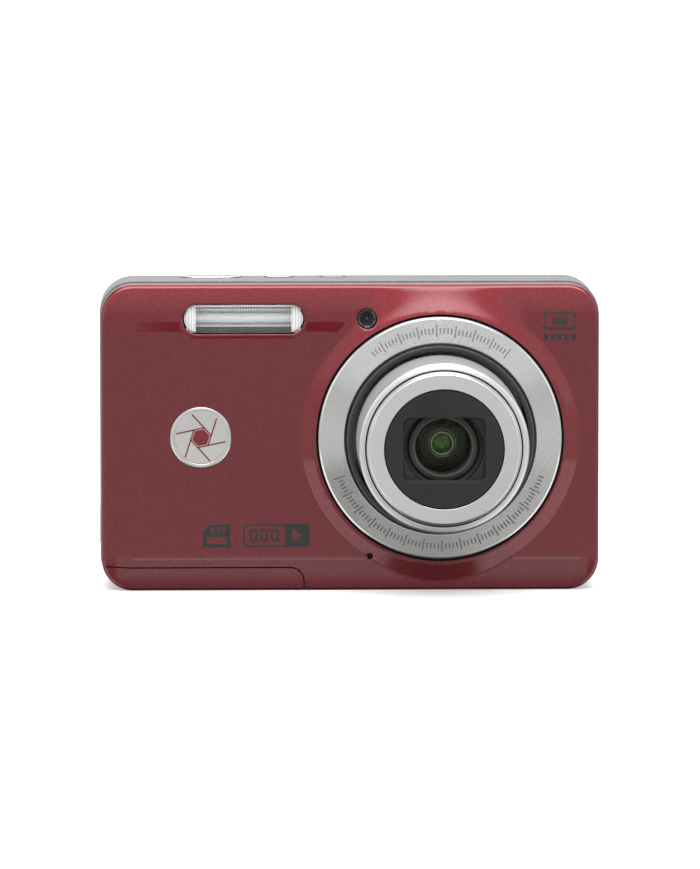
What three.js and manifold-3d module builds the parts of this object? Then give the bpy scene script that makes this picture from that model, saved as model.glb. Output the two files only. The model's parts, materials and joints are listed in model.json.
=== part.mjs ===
// Compact digital camera, millimetres.
// +X is to the right as seen from the front, the lens looks along -Y, +Z is up.
// The origin lies on the bottom face, at the middle of the body's width, BACK_Y in front of the back.
import * as THREE from "three";
import { mergeVertices } from "three/addons/utils/BufferGeometryUtils.js";
import Module from "manifold-3d";

// ---- driving dimensions ----
const WIDTH = 91.5;
const HEIGHT = 56.5;
const BACK_Y = 11.45; // flat back of the rear cover
const RING_Y = -11.45; // foremost edge of the bezel ring
const FACE_Y = -8.6; // flat front of the front cover
const SEAM_Y = -3.0; // where the two covers meet
const SEAM_GAP = 0.1;
const STEP = 0.25; // how far the rear cover stands out round the front one
const WALL = 1.1;
const REAR_CORNER = 6.1;
const FRONT_CORNER = 5.8;
const CLEARANCE = 0.3; // round anything set in an opening

const LENS_X = 16.35;
const LENS_Z = 28.2;
const MOUND_R = 26.2; // foot of the raised cone round the lens
const MOUND_TOP_R = 22.9;
const MOUND_Y = -9.7;
const MOUND_INSET = 0.4; // the cone stays this far inside the cover's outline
const RING_OUTER = 22.35;
const RING_INNER = 17.3;
const BARREL_SIDES = 56;
const BASE_OUTER = 18.6; // fixed tube that guides the barrels
const BASE_FRONT = -8.3;
const BASE_BACK = 6.4;
const FLANGE_R = 23.4;
const FLANGE_Y = -7.3;
const FLANGE_THICK = 0.9;

const CAM_OUTER = 17.0;
const CAM_INNER = 16.1;
const CAM_FRONT = -12.65;
const CAM_LENGTH = 14.15;
const OUTER_R = 15.4;
const OUTER_BORE = 14.25;
const OUTER_FRONT = -28.1;
const OUTER_LENGTH = 17.5;
const INNER_R = 14.0;
const INNER_BORE = 13.1;
const INNER_FRONT = -29.35;
const INNER_LENGTH = 14.95;
const PLATE_R = 10.75; // black front plate with the lens window
const WINDOW_W = 14.5;
const WINDOW_H = 11.2;
const BLADE_R = 12.8;
const BLADE_TRAVEL = 5.7;
const BLADE_THICK = 0.4;

// Lens groups: glass radius, and the front and back of the cell that holds it.
const FRONT_GROUP = { glass: 5.1, front: -26.6, step: -25.6, back: -20.4, outer: 12.8 };
const ZOOM_GROUP = { glass: 2.1, front: -18.8, step: -17.6, back: -14.6, outer: 12.6 };
const FOCUS_GROUP = { glass: 4.2, front: -3.5, back: -1.6, outer: 12.4 };
const CELL_WALL = 1.0;
const GLASS_GAP = 0.2;
const SENSOR = { w: 9.2, h: 8.0, front: 4.9 };
const SENSOR_PLATE = { half: 18.4, corner: 6, thick: 0.6 };
const MOTOR = { x: 40.0, z: 12.4, r: 3.2, y0: -6.2, y1: 5.8 };

const FLASH = { x: -19.47, z: 49.9, w: 22.0, h: 5.05 };
const LAMP = { x: 3.04, z: 50.0, r: 1.7 };
const MIC = { x: 3.57, z: 6.4, r: 0.6, body: 1.8 };
const REFLECTOR = { half: 10.4, height: 2.5, wall: 0.5, y0: -7.0, y1: -2.4 };
const FLASH_TUBE = { r: 0.9, half: 9.4, y: -4.8 };
const CAPACITOR = { x0: -40.0, x1: -11.5, y: -3.2, z: 43.0, r: 3.5 };
const SPEAKER = { x: 39.0, y: 4.4, r: 2.6, z0: 50.6, z1: 53.4 };
const BADGE = { x: -27.3, z: 28.3, r: 5.6, thick: 0.38 };

const DOOR_RIGHT = -8.6;
const DOOR_TOP = 4.2;
const DOOR_CORNER = 2.4;
const DOOR_BACK = 7.5;
const DOOR_WALL = 0.8;
const HINGE = { x: DOOR_RIGHT - DOOR_CORNER, z: 1.2 };

const TOP_BUTTON_Y = 6.3;
const TOP_BUTTONS = [
  { name: "shutter_button", x: -25.25, w: 11.0, d: 5.0, proud: 0.3 },
  { name: "power_button", x: -12.8, w: 5.2, d: 3.6, proud: 0.25 },
  { name: "movie_button", x: -2.9, w: 4.7, d: 3.0, proud: 0.1 },
];
const PAD = { x: -30.5, z: 24.4, r: 9.0, bore: 3.6 };
const OK_R = 3.2;
const KEY_R = 2.3;
const KEYS = [
  { name: "menu_button", x: -37.6, z: 38.2 },
  { name: "mode_button", x: -23.4, z: 38.2 },
  { name: "playback_button", x: -37.6, z: 10.6 },
  { name: "delete_button", x: -23.4, z: 10.6 },
];
const KEY_PROUD = 0.3;
const ROCKER = { x: -30.5, z: 47.6, w: 14.0, h: 4.8 };
const LED = { x: -19.6, z: 47.6, r: 0.8 };
const SCREEN = { x0: -16.0, x1: 42.6, z0: 4.9, z1: 51.3 };

const BATTERY = { x0: -43.0, x1: -11.0, y0: -1.9, y1: 4.1, z0: 2.6, z1: 37.9 };
const CARD = { x0: -39.0, x1: -15.0, y0: -6.0, y1: -3.9, z0: 3.2, z1: 35.2 };
const TRIPOD = { x: 9.0, y: 5.5, r: 4.2, neck: 3.6, flange: 1.6, bore: 2.55, z1: 5.3 };
const PORT = { y0: 2.6, y1: 7.6, z0: 36.6, z1: 47.1, thick: 1.15 };
const LUG = { y0: 2.6, y1: 7.4, z0: 7.8, z1: 14.2 };
const SCREWS = [
  { name: "screw_bottom_middle", side: "bottom", a: 24.0 },
  { name: "screw_bottom_right", side: "bottom", a: 37.0 },
  { name: "screw_right_lower", side: "right", a: 12.0 },
  { name: "screw_right_upper", side: "right", a: 44.0 },
];
const SCREW_Y = 5.0;
const SCREW_HEAD_R = 1.3;
const SCREW_SHANK_R = 0.75;
const SCREW_LENGTH = 2.3;

// ---- materials ----
const material = (color, roughness, metalness, extra = {}) =>
  new THREE.MeshStandardMaterial({ color, roughness, metalness, ...extra });
const RED = material(0x8e1f26, 0.32, 0.55);
const SILVER = material(0xa3a7a6, 0.38, 0.7);
const SATIN = material(0xbfc0be, 0.28, 0.95);
const BRIGHT = material(0xdcdddc, 0.15, 1.0);
const BLACK = material(0x17171a, 0.5, 0.0);
const DARK_GREY = material(0x3b3a3b, 0.55, 0.1);
const GLASS = material(0x6c7f60, 0.05, 0.0, { transparent: true, opacity: 0.4 });
const CLEAR = material(0xe8ecec, 0.12, 0.0, { transparent: true, opacity: 0.5 });
const STEEL = material(0x9b9d9f, 0.35, 0.9);
const BOARD = material(0x1f5a3a, 0.6, 0.1);
const BATTERY_GREY = material(0x4a4d52, 0.6, 0.1);
const RUBBER = material(0x2a2a2c, 0.8, 0.0);

// ---- solids ----
const wasm = await Module();
wasm.setup();

function solid(geometry) {
  const bare = geometry.index ? geometry.toNonIndexed() : geometry.clone();
  bare.deleteAttribute("normal");
  bare.deleteAttribute("uv");
  const merged = mergeVertices(bare, 1e-4);
  const vertProperties = new Float32Array(merged.attributes.position.array);
  const triVerts = new Uint32Array(merged.index.array);
  return new wasm.Manifold(new wasm.Mesh({ numProp: 3, vertProperties, triVerts }));
}

function geometryOf(made) {
  const mesh = made.getMesh();
  const geometry = new THREE.BufferGeometry();
  geometry.setAttribute("position", new THREE.BufferAttribute(mesh.vertProperties, 3));
  geometry.setIndex(new THREE.BufferAttribute(mesh.triVerts, 1));
  geometry.computeVertexNormals();
  return geometry;
}

function cut(base, ...tools) {
  const left = tools.reduce((made, tool) => made.subtract(solid(tool)), solid(base));
  return geometryOf(left);
}

function join(base, ...others) {
  const whole = others.reduce((made, other) => made.add(solid(other)), solid(base));
  return geometryOf(whole);
}

function overlap(base, other) {
  return geometryOf(solid(base).intersect(solid(other)));
}

function box(x0, x1, y0, y1, z0, z1) {
  const geometry = new THREE.BoxGeometry(x1 - x0, y1 - y0, z1 - z0);
  return geometry.translate((x0 + x1) / 2, (y0 + y1) / 2, (z0 + z1) / 2);
}

// A shape drawn in X and Z, as a plate from y0 to y1.
function plate(shape, y0, y1, curveSegments = 6) {
  const options = { depth: y1 - y0, bevelEnabled: false, curveSegments };
  const geometry = new THREE.ExtrudeGeometry(shape, options);
  return geometry.rotateX(Math.PI / 2).translate(0, y1, 0);
}

// The same with its edges rounded at both ends, by `depth` along Y and `inset` across it.
function roundedPlate(shape, y0, y1, depth, inset) {
  const options = {
    depth: y1 - y0 - 2 * depth,
    bevelThickness: depth,
    bevelSize: inset,
    bevelOffset: -inset,
    bevelSegments: 3,
    curveSegments: 6,
  };
  const geometry = new THREE.ExtrudeGeometry(shape, options);
  return geometry.rotateX(Math.PI / 2).translate(0, y1 - depth, 0);
}

// A shape drawn in X and Y, as a plate from z0 to z1.
function slab(shape, z0, z1, curveSegments = 6) {
  const options = { depth: z1 - z0, bevelEnabled: false, curveSegments };
  return new THREE.ExtrudeGeometry(shape, options).translate(0, 0, z0);
}

function roundedRectangle(a0, a1, b0, b1, r) {
  const shape = new THREE.Shape();
  shape.absarc(a1 - r, b0 + r, r, -Math.PI / 2, 0);
  shape.absarc(a1 - r, b1 - r, r, 0, Math.PI / 2);
  shape.absarc(a0 + r, b1 - r, r, Math.PI / 2, Math.PI);
  shape.absarc(a0 + r, b0 + r, r, Math.PI, Math.PI * 1.5);
  return shape;
}

function stadium(a, b, w, h) {
  const r = Math.min(w, h) / 2 - 0.001;
  return roundedRectangle(a - w / 2, a + w / 2, b - h / 2, b + h / 2, r);
}

// A profile of [radius, along] points turned about an axis along +Y, closed on itself.
function turned(profile, sides = BARREL_SIDES) {
  const points = profile.map(([r, along]) => new THREE.Vector2(r, along));
  if (THREE.ShapeUtils.area(points) < 0) points.reverse();
  points.push(points[0].clone());
  return new THREE.LatheGeometry(points, sides);
}

function turnedOnLens(profile, sides = BARREL_SIDES) {
  return turned(profile, sides).translate(LENS_X, 0, LENS_Z);
}

function tubeOnLens(inner, outer, y0, y1) {
  return turnedOnLens([[inner, y0], [outer, y0], [outer, y1], [inner, y1]]);
}

function rodAlongY(x, z, r, y0, y1, sides = 24) {
  const geometry = new THREE.CylinderGeometry(r, r, y1 - y0, sides);
  return geometry.translate(x, (y0 + y1) / 2, z);
}

function rodAlongZ(x, y, r, z0, z1, sides = 24) {
  const geometry = new THREE.CylinderGeometry(r, r, z1 - z0, sides);
  return geometry.rotateX(Math.PI / 2).translate(x, y, (z0 + z1) / 2);
}

function rodAlongX(y, z, r, x0, x1, sides = 24) {
  const geometry = new THREE.CylinderGeometry(r, r, x1 - x0, sides);
  return geometry.rotateZ(Math.PI / 2).translate((x0 + x1) / 2, y, z);
}

const camera = new THREE.Group();
camera.name = "compact_digital_camera";

function add(name, geometry, look) {
  const mesh = new THREE.Mesh(geometry, look);
  mesh.name = name;
  camera.add(mesh);
}

// ---- covers ----
const outline = (inset, corner, top) =>
  roundedRectangle(inset - WIDTH / 2, WIDTH / 2 - inset, Math.min(inset, WALL), top, corner);
const frontOutline = () => {
  const half = WIDTH / 2 - STEP;
  return roundedRectangle(-half, half, 0, HEIGHT - STEP, FRONT_CORNER);
};
const FRONT_ROUND = { depth: 1.5, inset: 2.0 };
const BACK_ROUND = { depth: 2.0, inset: 2.0 };

// The door's edge seen from the front, grown by `gap`; it runs out past the left side and the bottom.
function doorRegion(gap) {
  const shape = new THREE.Shape();
  const right = DOOR_RIGHT + gap;
  const far = -WIDTH;
  shape.moveTo(far, -HEIGHT);
  shape.lineTo(right, -HEIGHT);
  shape.lineTo(right, DOOR_TOP - DOOR_CORNER);
  shape.absarc(HINGE.x, DOOR_TOP - DOOR_CORNER, DOOR_CORNER + gap, 0, Math.PI / 2);
  shape.lineTo(far, DOOR_TOP + gap);
  return shape;
}

function frontShell(end) {
  const { depth, inset } = FRONT_ROUND;
  const block = roundedPlate(frontOutline(), FACE_Y, end + depth, depth, inset);
  return overlap(block, box(-WIDTH, WIDTH, FACE_Y - 1, end, -1, HEIGHT + 1));
}

function frontHollow(end) {
  const shape = outline(WALL + STEP, FRONT_CORNER - WALL, HEIGHT - STEP - WALL);
  return roundedPlate(shape, FACE_Y + WALL, end + 3, 1.0, 1.2);
}

function frontCover() {
  const end = SEAM_Y - SEAM_GAP / 2;
  const cone = [
    [0, FACE_Y + 0.5],
    [MOUND_R, FACE_Y + 0.5],
    [MOUND_R, FACE_Y],
    [MOUND_TOP_R, MOUND_Y],
    [0, MOUND_Y],
  ];
  const inner = outline(STEP + MOUND_INSET, FRONT_CORNER - MOUND_INSET, HEIGHT - STEP - MOUND_INSET);
  const mound = overlap(turnedOnLens(cone), plate(inner, MOUND_Y - 1, FACE_Y + WALL));
  const shell = join(cut(frontShell(end), frontHollow(end)), mound);
  const flashHole = stadium(FLASH.x, FLASH.z, FLASH.w + CLEARANCE, FLASH.h + CLEARANCE);
  return cut(
    shell,
    rodAlongY(LENS_X, LENS_Z, RING_OUTER + CLEARANCE, MOUND_Y - 1, -5, BARREL_SIDES),
    plate(flashHole, FACE_Y - 2, -5),
    rodAlongY(LAMP.x, LAMP.z, LAMP.r + 0.2, FACE_Y - 2, -5, 20),
    rodAlongY(MIC.x, MIC.z, MIC.r, FACE_Y - 2, -5, 12),
    plate(doorRegion(CLEARANCE), FACE_Y - 2, end + 2),
  );
}

function screwPocket(screw) {
  const r = SCREW_HEAD_R + CLEARANCE;
  if (screw.side === "bottom") return rodAlongZ(screw.a, SCREW_Y, r, -1, WALL + 0.2, 16);
  return rodAlongX(SCREW_Y, screw.a, r, WIDTH / 2 - WALL - 0.4, WIDTH / 2 + 1, 16);
}

function leftSideOpening({ y0, y1, z0, z1 }) {
  const depth = 3;
  return box(
    -WIDTH,
    depth - WIDTH / 2,
    y0 - CLEARANCE,
    y1 + CLEARANCE,
    z0 - CLEARANCE,
    z1 + CLEARANCE,
  );
}

function rearCover() {
  const start = SEAM_Y + SEAM_GAP / 2;
  const whole = roundedRectangle(-WIDTH / 2, WIDTH / 2, 0, HEIGHT, REAR_CORNER);
  const { depth, inset } = BACK_ROUND;
  const block = overlap(
    roundedPlate(whole, start - depth, BACK_Y, depth, inset),
    box(-WIDTH, WIDTH, start, BACK_Y + 1, -1, HEIGHT + 1),
  );
  const hollow = roundedPlate(
    outline(WALL, REAR_CORNER - WALL, HEIGHT - WALL),
    start - 4,
    BACK_Y - WALL,
    1.2,
    1.2,
  );
  const openings = [
    plate(roundedRectangle(
      SCREEN.x0 - CLEARANCE / 2,
      SCREEN.x1 + CLEARANCE / 2,
      SCREEN.z0 - CLEARANCE / 2,
      SCREEN.z1 + CLEARANCE / 2,
      1.3,
    ), BACK_Y - 3, BACK_Y + 1),
    rodAlongY(PAD.x, PAD.z, PAD.r + CLEARANCE, BACK_Y - 3, BACK_Y + 1, 40),
    plate(stadium(ROCKER.x, ROCKER.z, ROCKER.w + 0.8, ROCKER.h + 0.6), BACK_Y - 3, BACK_Y + 1),
    rodAlongY(LED.x, LED.z, LED.r + 0.2, BACK_Y - 3, BACK_Y + 1, 12),
    ...KEYS.map((key) => rodAlongY(key.x, key.z, KEY_R + CLEARANCE, BACK_Y - 3, BACK_Y + 1, 24)),
    ...TOP_BUTTONS.map((button) =>
      slab(
        stadium(button.x, TOP_BUTTON_Y, button.w + CLEARANCE, button.d + CLEARANCE),
        HEIGHT - 3,
        HEIGHT + 1,
      )),
    leftSideOpening(PORT),
    leftSideOpening(LUG),
    rodAlongZ(TRIPOD.x, TRIPOD.y, TRIPOD.r + CLEARANCE, -1, WALL + 1, 24),
    plate(doorRegion(CLEARANCE), -5, DOOR_BACK + CLEARANCE),
    ...SCREWS.map(screwPocket),
  ];
  return cut(block, hollow, ...openings);
}

add("front_cover", frontCover(), RED);
add("rear_cover", rearCover(), SILVER);
const badgeBack = FACE_Y - 0.02;
add(
  "badge_plate",
  rodAlongY(BADGE.x, BADGE.z, BADGE.r, badgeBack - BADGE.thick, badgeBack, 32),
  SATIN,
);

// ---- lens ----
add(
  "lens_bezel_ring",
  turnedOnLens([
    [RING_INNER, RING_Y],
    [RING_OUTER - 0.3, RING_Y + 1.4],
    [RING_OUTER, RING_Y + 1.7],
    [RING_OUTER, RING_Y + 3.35],
    [RING_OUTER - 1.4, RING_Y + 3.35],
    [RING_OUTER - 1.4, RING_Y + 2.6],
    [RING_INNER, RING_Y + 1.3],
  ]),
  SATIN,
);

add(
  "lens_base_barrel",
  turnedOnLens([
    [RING_INNER + 0.1, BASE_FRONT],
    [BASE_OUTER, BASE_FRONT],
    [BASE_OUTER, FLANGE_Y],
    [FLANGE_R, FLANGE_Y],
    [FLANGE_R, FLANGE_Y + FLANGE_THICK],
    [BASE_OUTER, FLANGE_Y + FLANGE_THICK],
    [BASE_OUTER, BASE_BACK],
    [RING_INNER + 0.1, BASE_BACK],
  ]),
  BLACK,
);
add("cam_barrel", tubeOnLens(CAM_INNER, CAM_OUTER, CAM_FRONT, CAM_FRONT + CAM_LENGTH), DARK_GREY);
add(
  "outer_barrel",
  turnedOnLens([
    [OUTER_BORE, OUTER_FRONT],
    [OUTER_BORE + 0.35, OUTER_FRONT],
    [OUTER_R - 0.25, OUTER_FRONT + 0.8],
    [OUTER_R, OUTER_FRONT + 2.0],
    [OUTER_R, OUTER_FRONT + OUTER_LENGTH],
    [OUTER_BORE, OUTER_FRONT + OUTER_LENGTH],
  ]),
  SATIN,
);
add(
  "inner_barrel",
  turnedOnLens([
    [PLATE_R + 0.2, INNER_FRONT],
    [INNER_R - 0.45, INNER_FRONT + 0.25],
    [INNER_R, INNER_FRONT + 0.75],
    [INNER_R, INNER_FRONT + INNER_LENGTH],
    [INNER_BORE, INNER_FRONT + INNER_LENGTH],
    [INNER_BORE, INNER_FRONT + 1.25],
    [PLATE_R + 0.2, INNER_FRONT + 1.25],
  ]),
  SATIN,
);

const windowShape = roundedRectangle(
  LENS_X - WINDOW_W / 2,
  LENS_X + WINDOW_W / 2,
  LENS_Z - WINDOW_H / 2,
  LENS_Z + WINDOW_H / 2,
  1.2,
);
add(
  "lens_front_plate",
  cut(
    rodAlongY(LENS_X, LENS_Z, PLATE_R, INNER_FRONT + 0.2, INNER_FRONT + 1.0, BARREL_SIDES),
    plate(windowShape, INNER_FRONT - 1, INNER_FRONT + 2),
  ),
  BLACK,
);

// One crescent blade, parked clear of the window; `side` is 1 above it and -1 below it.
function barrierBlade(side) {
  const shape = new THREE.Shape();
  const halfWidth = WINDOW_W / 2 + 0.35;
  const chord = BLADE_TRAVEL + 0.02;
  const swing = Math.acos(halfWidth / BLADE_R);
  shape.moveTo(-halfWidth, chord);
  shape.lineTo(halfWidth, chord);
  shape.absarc(0, 0, BLADE_R, swing, Math.PI - swing);
  const y0 = INNER_FRONT + 1.45;
  const blade = plate(shape, y0, y0 + BLADE_THICK, 10);
  if (side < 0) blade.rotateY(Math.PI);
  return blade.translate(LENS_X, 0, LENS_Z);
}
add("barrier_blade_upper", barrierBlade(1), BLACK);
add("barrier_blade_lower", barrierBlade(-1), BLACK);

// The glass cells: a collar round each glass on a disc that reaches out to the barrel.
add(
  "front_lens_mount",
  turnedOnLens([
    [FRONT_GROUP.glass + GLASS_GAP, -25.0],
    [6.3, -25.0],
    [7.4, FRONT_GROUP.front],
    [FRONT_GROUP.outer, FRONT_GROUP.front],
    [FRONT_GROUP.outer, FRONT_GROUP.step],
    [7.8, FRONT_GROUP.step],
    [7.0, FRONT_GROUP.back],
    [FRONT_GROUP.glass + GLASS_GAP, FRONT_GROUP.back],
  ], 40),
  BLACK,
);
add(
  "front_lens",
  turnedOnLens([
    [0, -25.6],
    [2.6, -25.35],
    [FRONT_GROUP.glass, -24.6],
    [FRONT_GROUP.glass, -23.0],
    [3.6, -22.6],
    [0, -23.4],
  ], 32),
  GLASS,
);
add(
  "zoom_lens_mount",
  turnedOnLens([
    [ZOOM_GROUP.glass + GLASS_GAP, ZOOM_GROUP.front],
    [3.6, ZOOM_GROUP.front],
    [4.2, ZOOM_GROUP.step],
    [ZOOM_GROUP.outer, ZOOM_GROUP.step],
    [ZOOM_GROUP.outer, ZOOM_GROUP.step + CELL_WALL],
    [6.0, ZOOM_GROUP.step + CELL_WALL],
    [6.0, ZOOM_GROUP.back],
    [ZOOM_GROUP.glass + GLASS_GAP, ZOOM_GROUP.back],
  ], 40),
  BLACK,
);
add(
  "zoom_lens",
  turnedOnLens([
    [0, -18.9],
    [1.2, -18.7],
    [ZOOM_GROUP.glass, -18.2],
    [ZOOM_GROUP.glass, -15.4],
    [0, -15.0],
  ], 24),
  GLASS,
);
add(
  "focus_lens_mount",
  turnedOnLens([
    [FOCUS_GROUP.glass + GLASS_GAP, FOCUS_GROUP.front],
    [FOCUS_GROUP.outer, FOCUS_GROUP.front],
    [FOCUS_GROUP.outer, -2.7],
    [5.4, -2.7],
    [5.4, FOCUS_GROUP.back],
    [FOCUS_GROUP.glass + GLASS_GAP, FOCUS_GROUP.back],
  ], 40),
  BLACK,
);
add(
  "focus_lens",
  turnedOnLens([
    [0, -3.4],
    [FOCUS_GROUP.glass, -2.9],
    [FOCUS_GROUP.glass, -2.2],
    [0, -1.7],
  ], 24),
  GLASS,
);
const sensorPlateShape = roundedRectangle(
  LENS_X - SENSOR_PLATE.half,
  LENS_X + SENSOR_PLATE.half,
  LENS_Z - SENSOR_PLATE.half,
  LENS_Z + SENSOR_PLATE.half,
  SENSOR_PLATE.corner,
);
const sensorPlateFront = BASE_BACK + 0.1;
add(
  "sensor_plate",
  plate(sensorPlateShape, sensorPlateFront, sensorPlateFront + SENSOR_PLATE.thick),
  STEEL,
);
add(
  "image_sensor",
  box(
    LENS_X - SENSOR.w / 2,
    LENS_X + SENSOR.w / 2,
    SENSOR.front,
    BASE_BACK,
    LENS_Z - SENSOR.h / 2,
    LENS_Z + SENSOR.h / 2,
  ),
  DARK_GREY,
);
add("zoom_motor", rodAlongY(MOTOR.x, MOTOR.z, MOTOR.r, MOTOR.y0, MOTOR.y1, 20), STEEL);

// ---- flash, lamp and microphone ----
add(
  "flash_window",
  plate(stadium(FLASH.x, FLASH.z, FLASH.w, FLASH.h), FACE_Y - 0.1, FACE_Y + 1.4),
  CLEAR,
);

// A trough of the given half length and half height, open at the front.
function troughBox(inset, y0, y1) {
  const half = REFLECTOR.half - inset;
  const height = REFLECTOR.height - inset;
  return box(FLASH.x - half, FLASH.x + half, y0, y1, FLASH.z - height, FLASH.z + height);
}
add(
  "flash_reflector",
  cut(
    troughBox(0, REFLECTOR.y0, REFLECTOR.y1),
    troughBox(REFLECTOR.wall, REFLECTOR.y0 - 1, REFLECTOR.y1 - 2 * REFLECTOR.wall),
  ),
  BRIGHT,
);
add(
  "flash_tube",
  rodAlongX(
    FLASH_TUBE.y,
    FLASH.z,
    FLASH_TUBE.r,
    FLASH.x - FLASH_TUBE.half,
    FLASH.x + FLASH_TUBE.half,
    12,
  ),
  CLEAR,
);
add(
  "flash_capacitor",
  rodAlongX(CAPACITOR.y, CAPACITOR.z, CAPACITOR.r, CAPACITOR.x0, CAPACITOR.x1, 20),
  BLACK,
);
add("lamp_window", rodAlongY(LAMP.x, LAMP.z, LAMP.r, FACE_Y, FACE_Y + 1.6, 20), DARK_GREY);
add("microphone", rodAlongY(MIC.x, MIC.z, MIC.body, FACE_Y + 1.3, FACE_Y + 2.0, 16), STEEL);
add("speaker", rodAlongZ(SPEAKER.x, SPEAKER.y, SPEAKER.r, SPEAKER.z0, SPEAKER.z1, 20), BLACK);

// ---- boards ----
add(
  "main_board",
  join(
    box(-42.5, -4.0, 5.6, 6.4, 6.5, 51.0),
    box(-34.0, -22.0, 6.3, 7.4, 20.0, 32.0),
    box(-18.6, -9.6, 6.3, 7.3, 30.0, 40.0),
    box(-16.0, -10.0, 6.3, 7.6, 12.0, 18.0),
  ),
  BOARD,
);
add("rear_switch_board", box(-43.0, -17.6, 8.5, 9.1, 6.0, 51.2), BOARD);
add("top_switch_board", box(-33.0, 2.0, 3.4, 9.2, 52.4, 53.0), BOARD);
const PANEL_INSET = 0.8;
add(
  "lcd_panel",
  box(
    SCREEN.x0 + PANEL_INSET,
    SCREEN.x1 - PANEL_INSET,
    7.9,
    10.2,
    SCREEN.z0 + PANEL_INSET,
    SCREEN.z1 - PANEL_INSET,
  ),
  BLACK,
);
add(
  "lcd_window",
  plate(roundedRectangle(SCREEN.x0, SCREEN.x1, SCREEN.z0, SCREEN.z1, 1.2), BACK_Y - 1.0, BACK_Y),
  BLACK,
);

// ---- buttons ----
function topButton({ x, w, d, proud }) {
  const cap = slab(stadium(x, TOP_BUTTON_Y, w, d), HEIGHT - WALL - 0.4, HEIGHT + proud);
  return join(cap, rodAlongZ(x, TOP_BUTTON_Y, 0.8, HEIGHT - 2.9, HEIGHT - WALL, 12));
}

function rearKey({ x, z }) {
  const cap = rodAlongY(x, z, KEY_R, BACK_Y - WALL - 0.3, BACK_Y + KEY_PROUD, 24);
  return join(cap, rodAlongY(x, z, 0.7, 9.6, BACK_Y - WALL, 12));
}

TOP_BUTTONS.forEach((button) => add(button.name, topButton(button), BRIGHT));
KEYS.forEach((key) => add(key.name, rearKey(key), SILVER));
add(
  "direction_pad",
  cut(
    join(
      rodAlongY(PAD.x, PAD.z, PAD.r, BACK_Y - 0.9, BACK_Y + KEY_PROUD, 40),
      rodAlongY(PAD.x, PAD.z, PAD.r - 1.6, BACK_Y - 1.5, BACK_Y - 0.8, 40),
    ),
    rodAlongY(PAD.x, PAD.z, PAD.bore, BACK_Y - 3, BACK_Y + 2, 24),
  ),
  SILVER,
);
add(
  "ok_button",
  join(
    rodAlongY(PAD.x, PAD.z, OK_R, BACK_Y - 0.9, BACK_Y + KEY_PROUD + 0.1, 24),
    rodAlongY(PAD.x, PAD.z, 1.0, 9.6, BACK_Y - 0.8, 12),
  ),
  SILVER,
);
add(
  "zoom_rocker",
  plate(stadium(ROCKER.x, ROCKER.z, ROCKER.w, ROCKER.h), BACK_Y - 0.9, BACK_Y + 0.4),
  SILVER,
);
add("status_led", rodAlongY(LED.x, LED.z, LED.r, 9.4, BACK_Y, 12), CLEAR);

// ---- battery, card and their door ----
const HOLDER_WALL = 0.65;
const HOLDER_GAP = 0.25;
function batteryHolder() {
  const out = HOLDER_WALL + HOLDER_GAP;
  const { x0, x1, y0, y1, z0, z1 } = BATTERY;
  const shell = cut(
    box(x0 - out, x1 + out, y0 - out, y1 + out, z0, z1 + 1.2),
    box(x0 - HOLDER_GAP, x1 + HOLDER_GAP, y0 - HOLDER_GAP, y1 + HOLDER_GAP, z0 - 1, z1 + 0.4),
    box(x0 - 2, x0 + 3, y0 - 3, y0 + 0.5, z0 - 1, z0 + 1.4),
    box(x0 - 2, x0 - 0.1, y0 - 3, y1 + 3, z0 - 1, z0 + 1.4),
    box(x1 + 0.6, x1 + 3, y0 - 3, y1 + 3, z0 - 1, z0 + 1.6),
  );
  const ear = (y) => box(HINGE.x - 0.5, HINGE.x + 0.4, y - 0.4, y + 0.4, HINGE.z + 0.75, z0 + 2);
  return join(shell, ear(y1 + 0.5), ear(y0 - 0.5));
}
add("battery_holder", batteryHolder(), BLACK);
add(
  "battery",
  box(BATTERY.x0, BATTERY.x1, BATTERY.y0, BATTERY.y1, BATTERY.z0, BATTERY.z1),
  BATTERY_GREY,
);

const latchZ = BATTERY.z0 - 0.65;
add(
  "battery_latch",
  box(BATTERY.x0 + 0.6, BATTERY.x0 + 3.1, BATTERY.y0 - 1.5, BATTERY.y0 + 0.8, latchZ, latchZ + 0.6),
  STEEL,
);

function cardSocket() {
  const { x0, x1, y0, y1, z1 } = CARD;
  return cut(
    box(x0 - 0.7, x1 + 0.7, y0 - 0.7, y1 + 0.5, 6.5, z1 + 2.2),
    box(x0 - 0.2, x1 + 0.2, y0 - 0.25, y1 + 0.2, 5.0, z1 + 1.4),
  );
}
add("card_socket", cardSocket(), STEEL);
function memoryCard() {
  const { x0, x1, y0, y1, z0, z1 } = CARD;
  const shape = new THREE.Shape();
  shape.moveTo(x0, z0);
  shape.lineTo(x1, z0);
  shape.lineTo(x1, z1);
  shape.lineTo(x0 + 4, z1);
  shape.lineTo(x0, z1 - 4);
  return plate(shape, y0, y1);
}
add("memory_card", memoryCard(), BLACK);

function batteryDoor() {
  const outer = overlap(frontShell(DOOR_BACK), plate(doorRegion(0), FACE_Y - 1, DOOR_BACK + 1));
  const half = WIDTH / 2 - STEP;
  const hollow = plate(
    roundedRectangle(DOOR_WALL + 0.2 - half, half, DOOR_WALL, HEIGHT, FRONT_CORNER - 1),
    FACE_Y + 1.0,
    DOOR_BACK + 1,
  );
  const reliefAbove = box(HINGE.x - 1.2, WIDTH, FACE_Y + 1.0, DOOR_BACK + 1, 0.4, DOOR_TOP + 1);
  const corner = new THREE.Shape();
  corner.moveTo(DOOR_RIGHT - 0.3, -0.05);
  corner.lineTo(DOOR_RIGHT + 0.05, -0.05);
  corner.lineTo(DOOR_RIGHT + 0.05, 0.3);
  return cut(outer, hollow, reliefAbove, plate(corner, FACE_Y - 1, DOOR_BACK + 1));
}
add("battery_door", batteryDoor(), RED);

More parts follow.
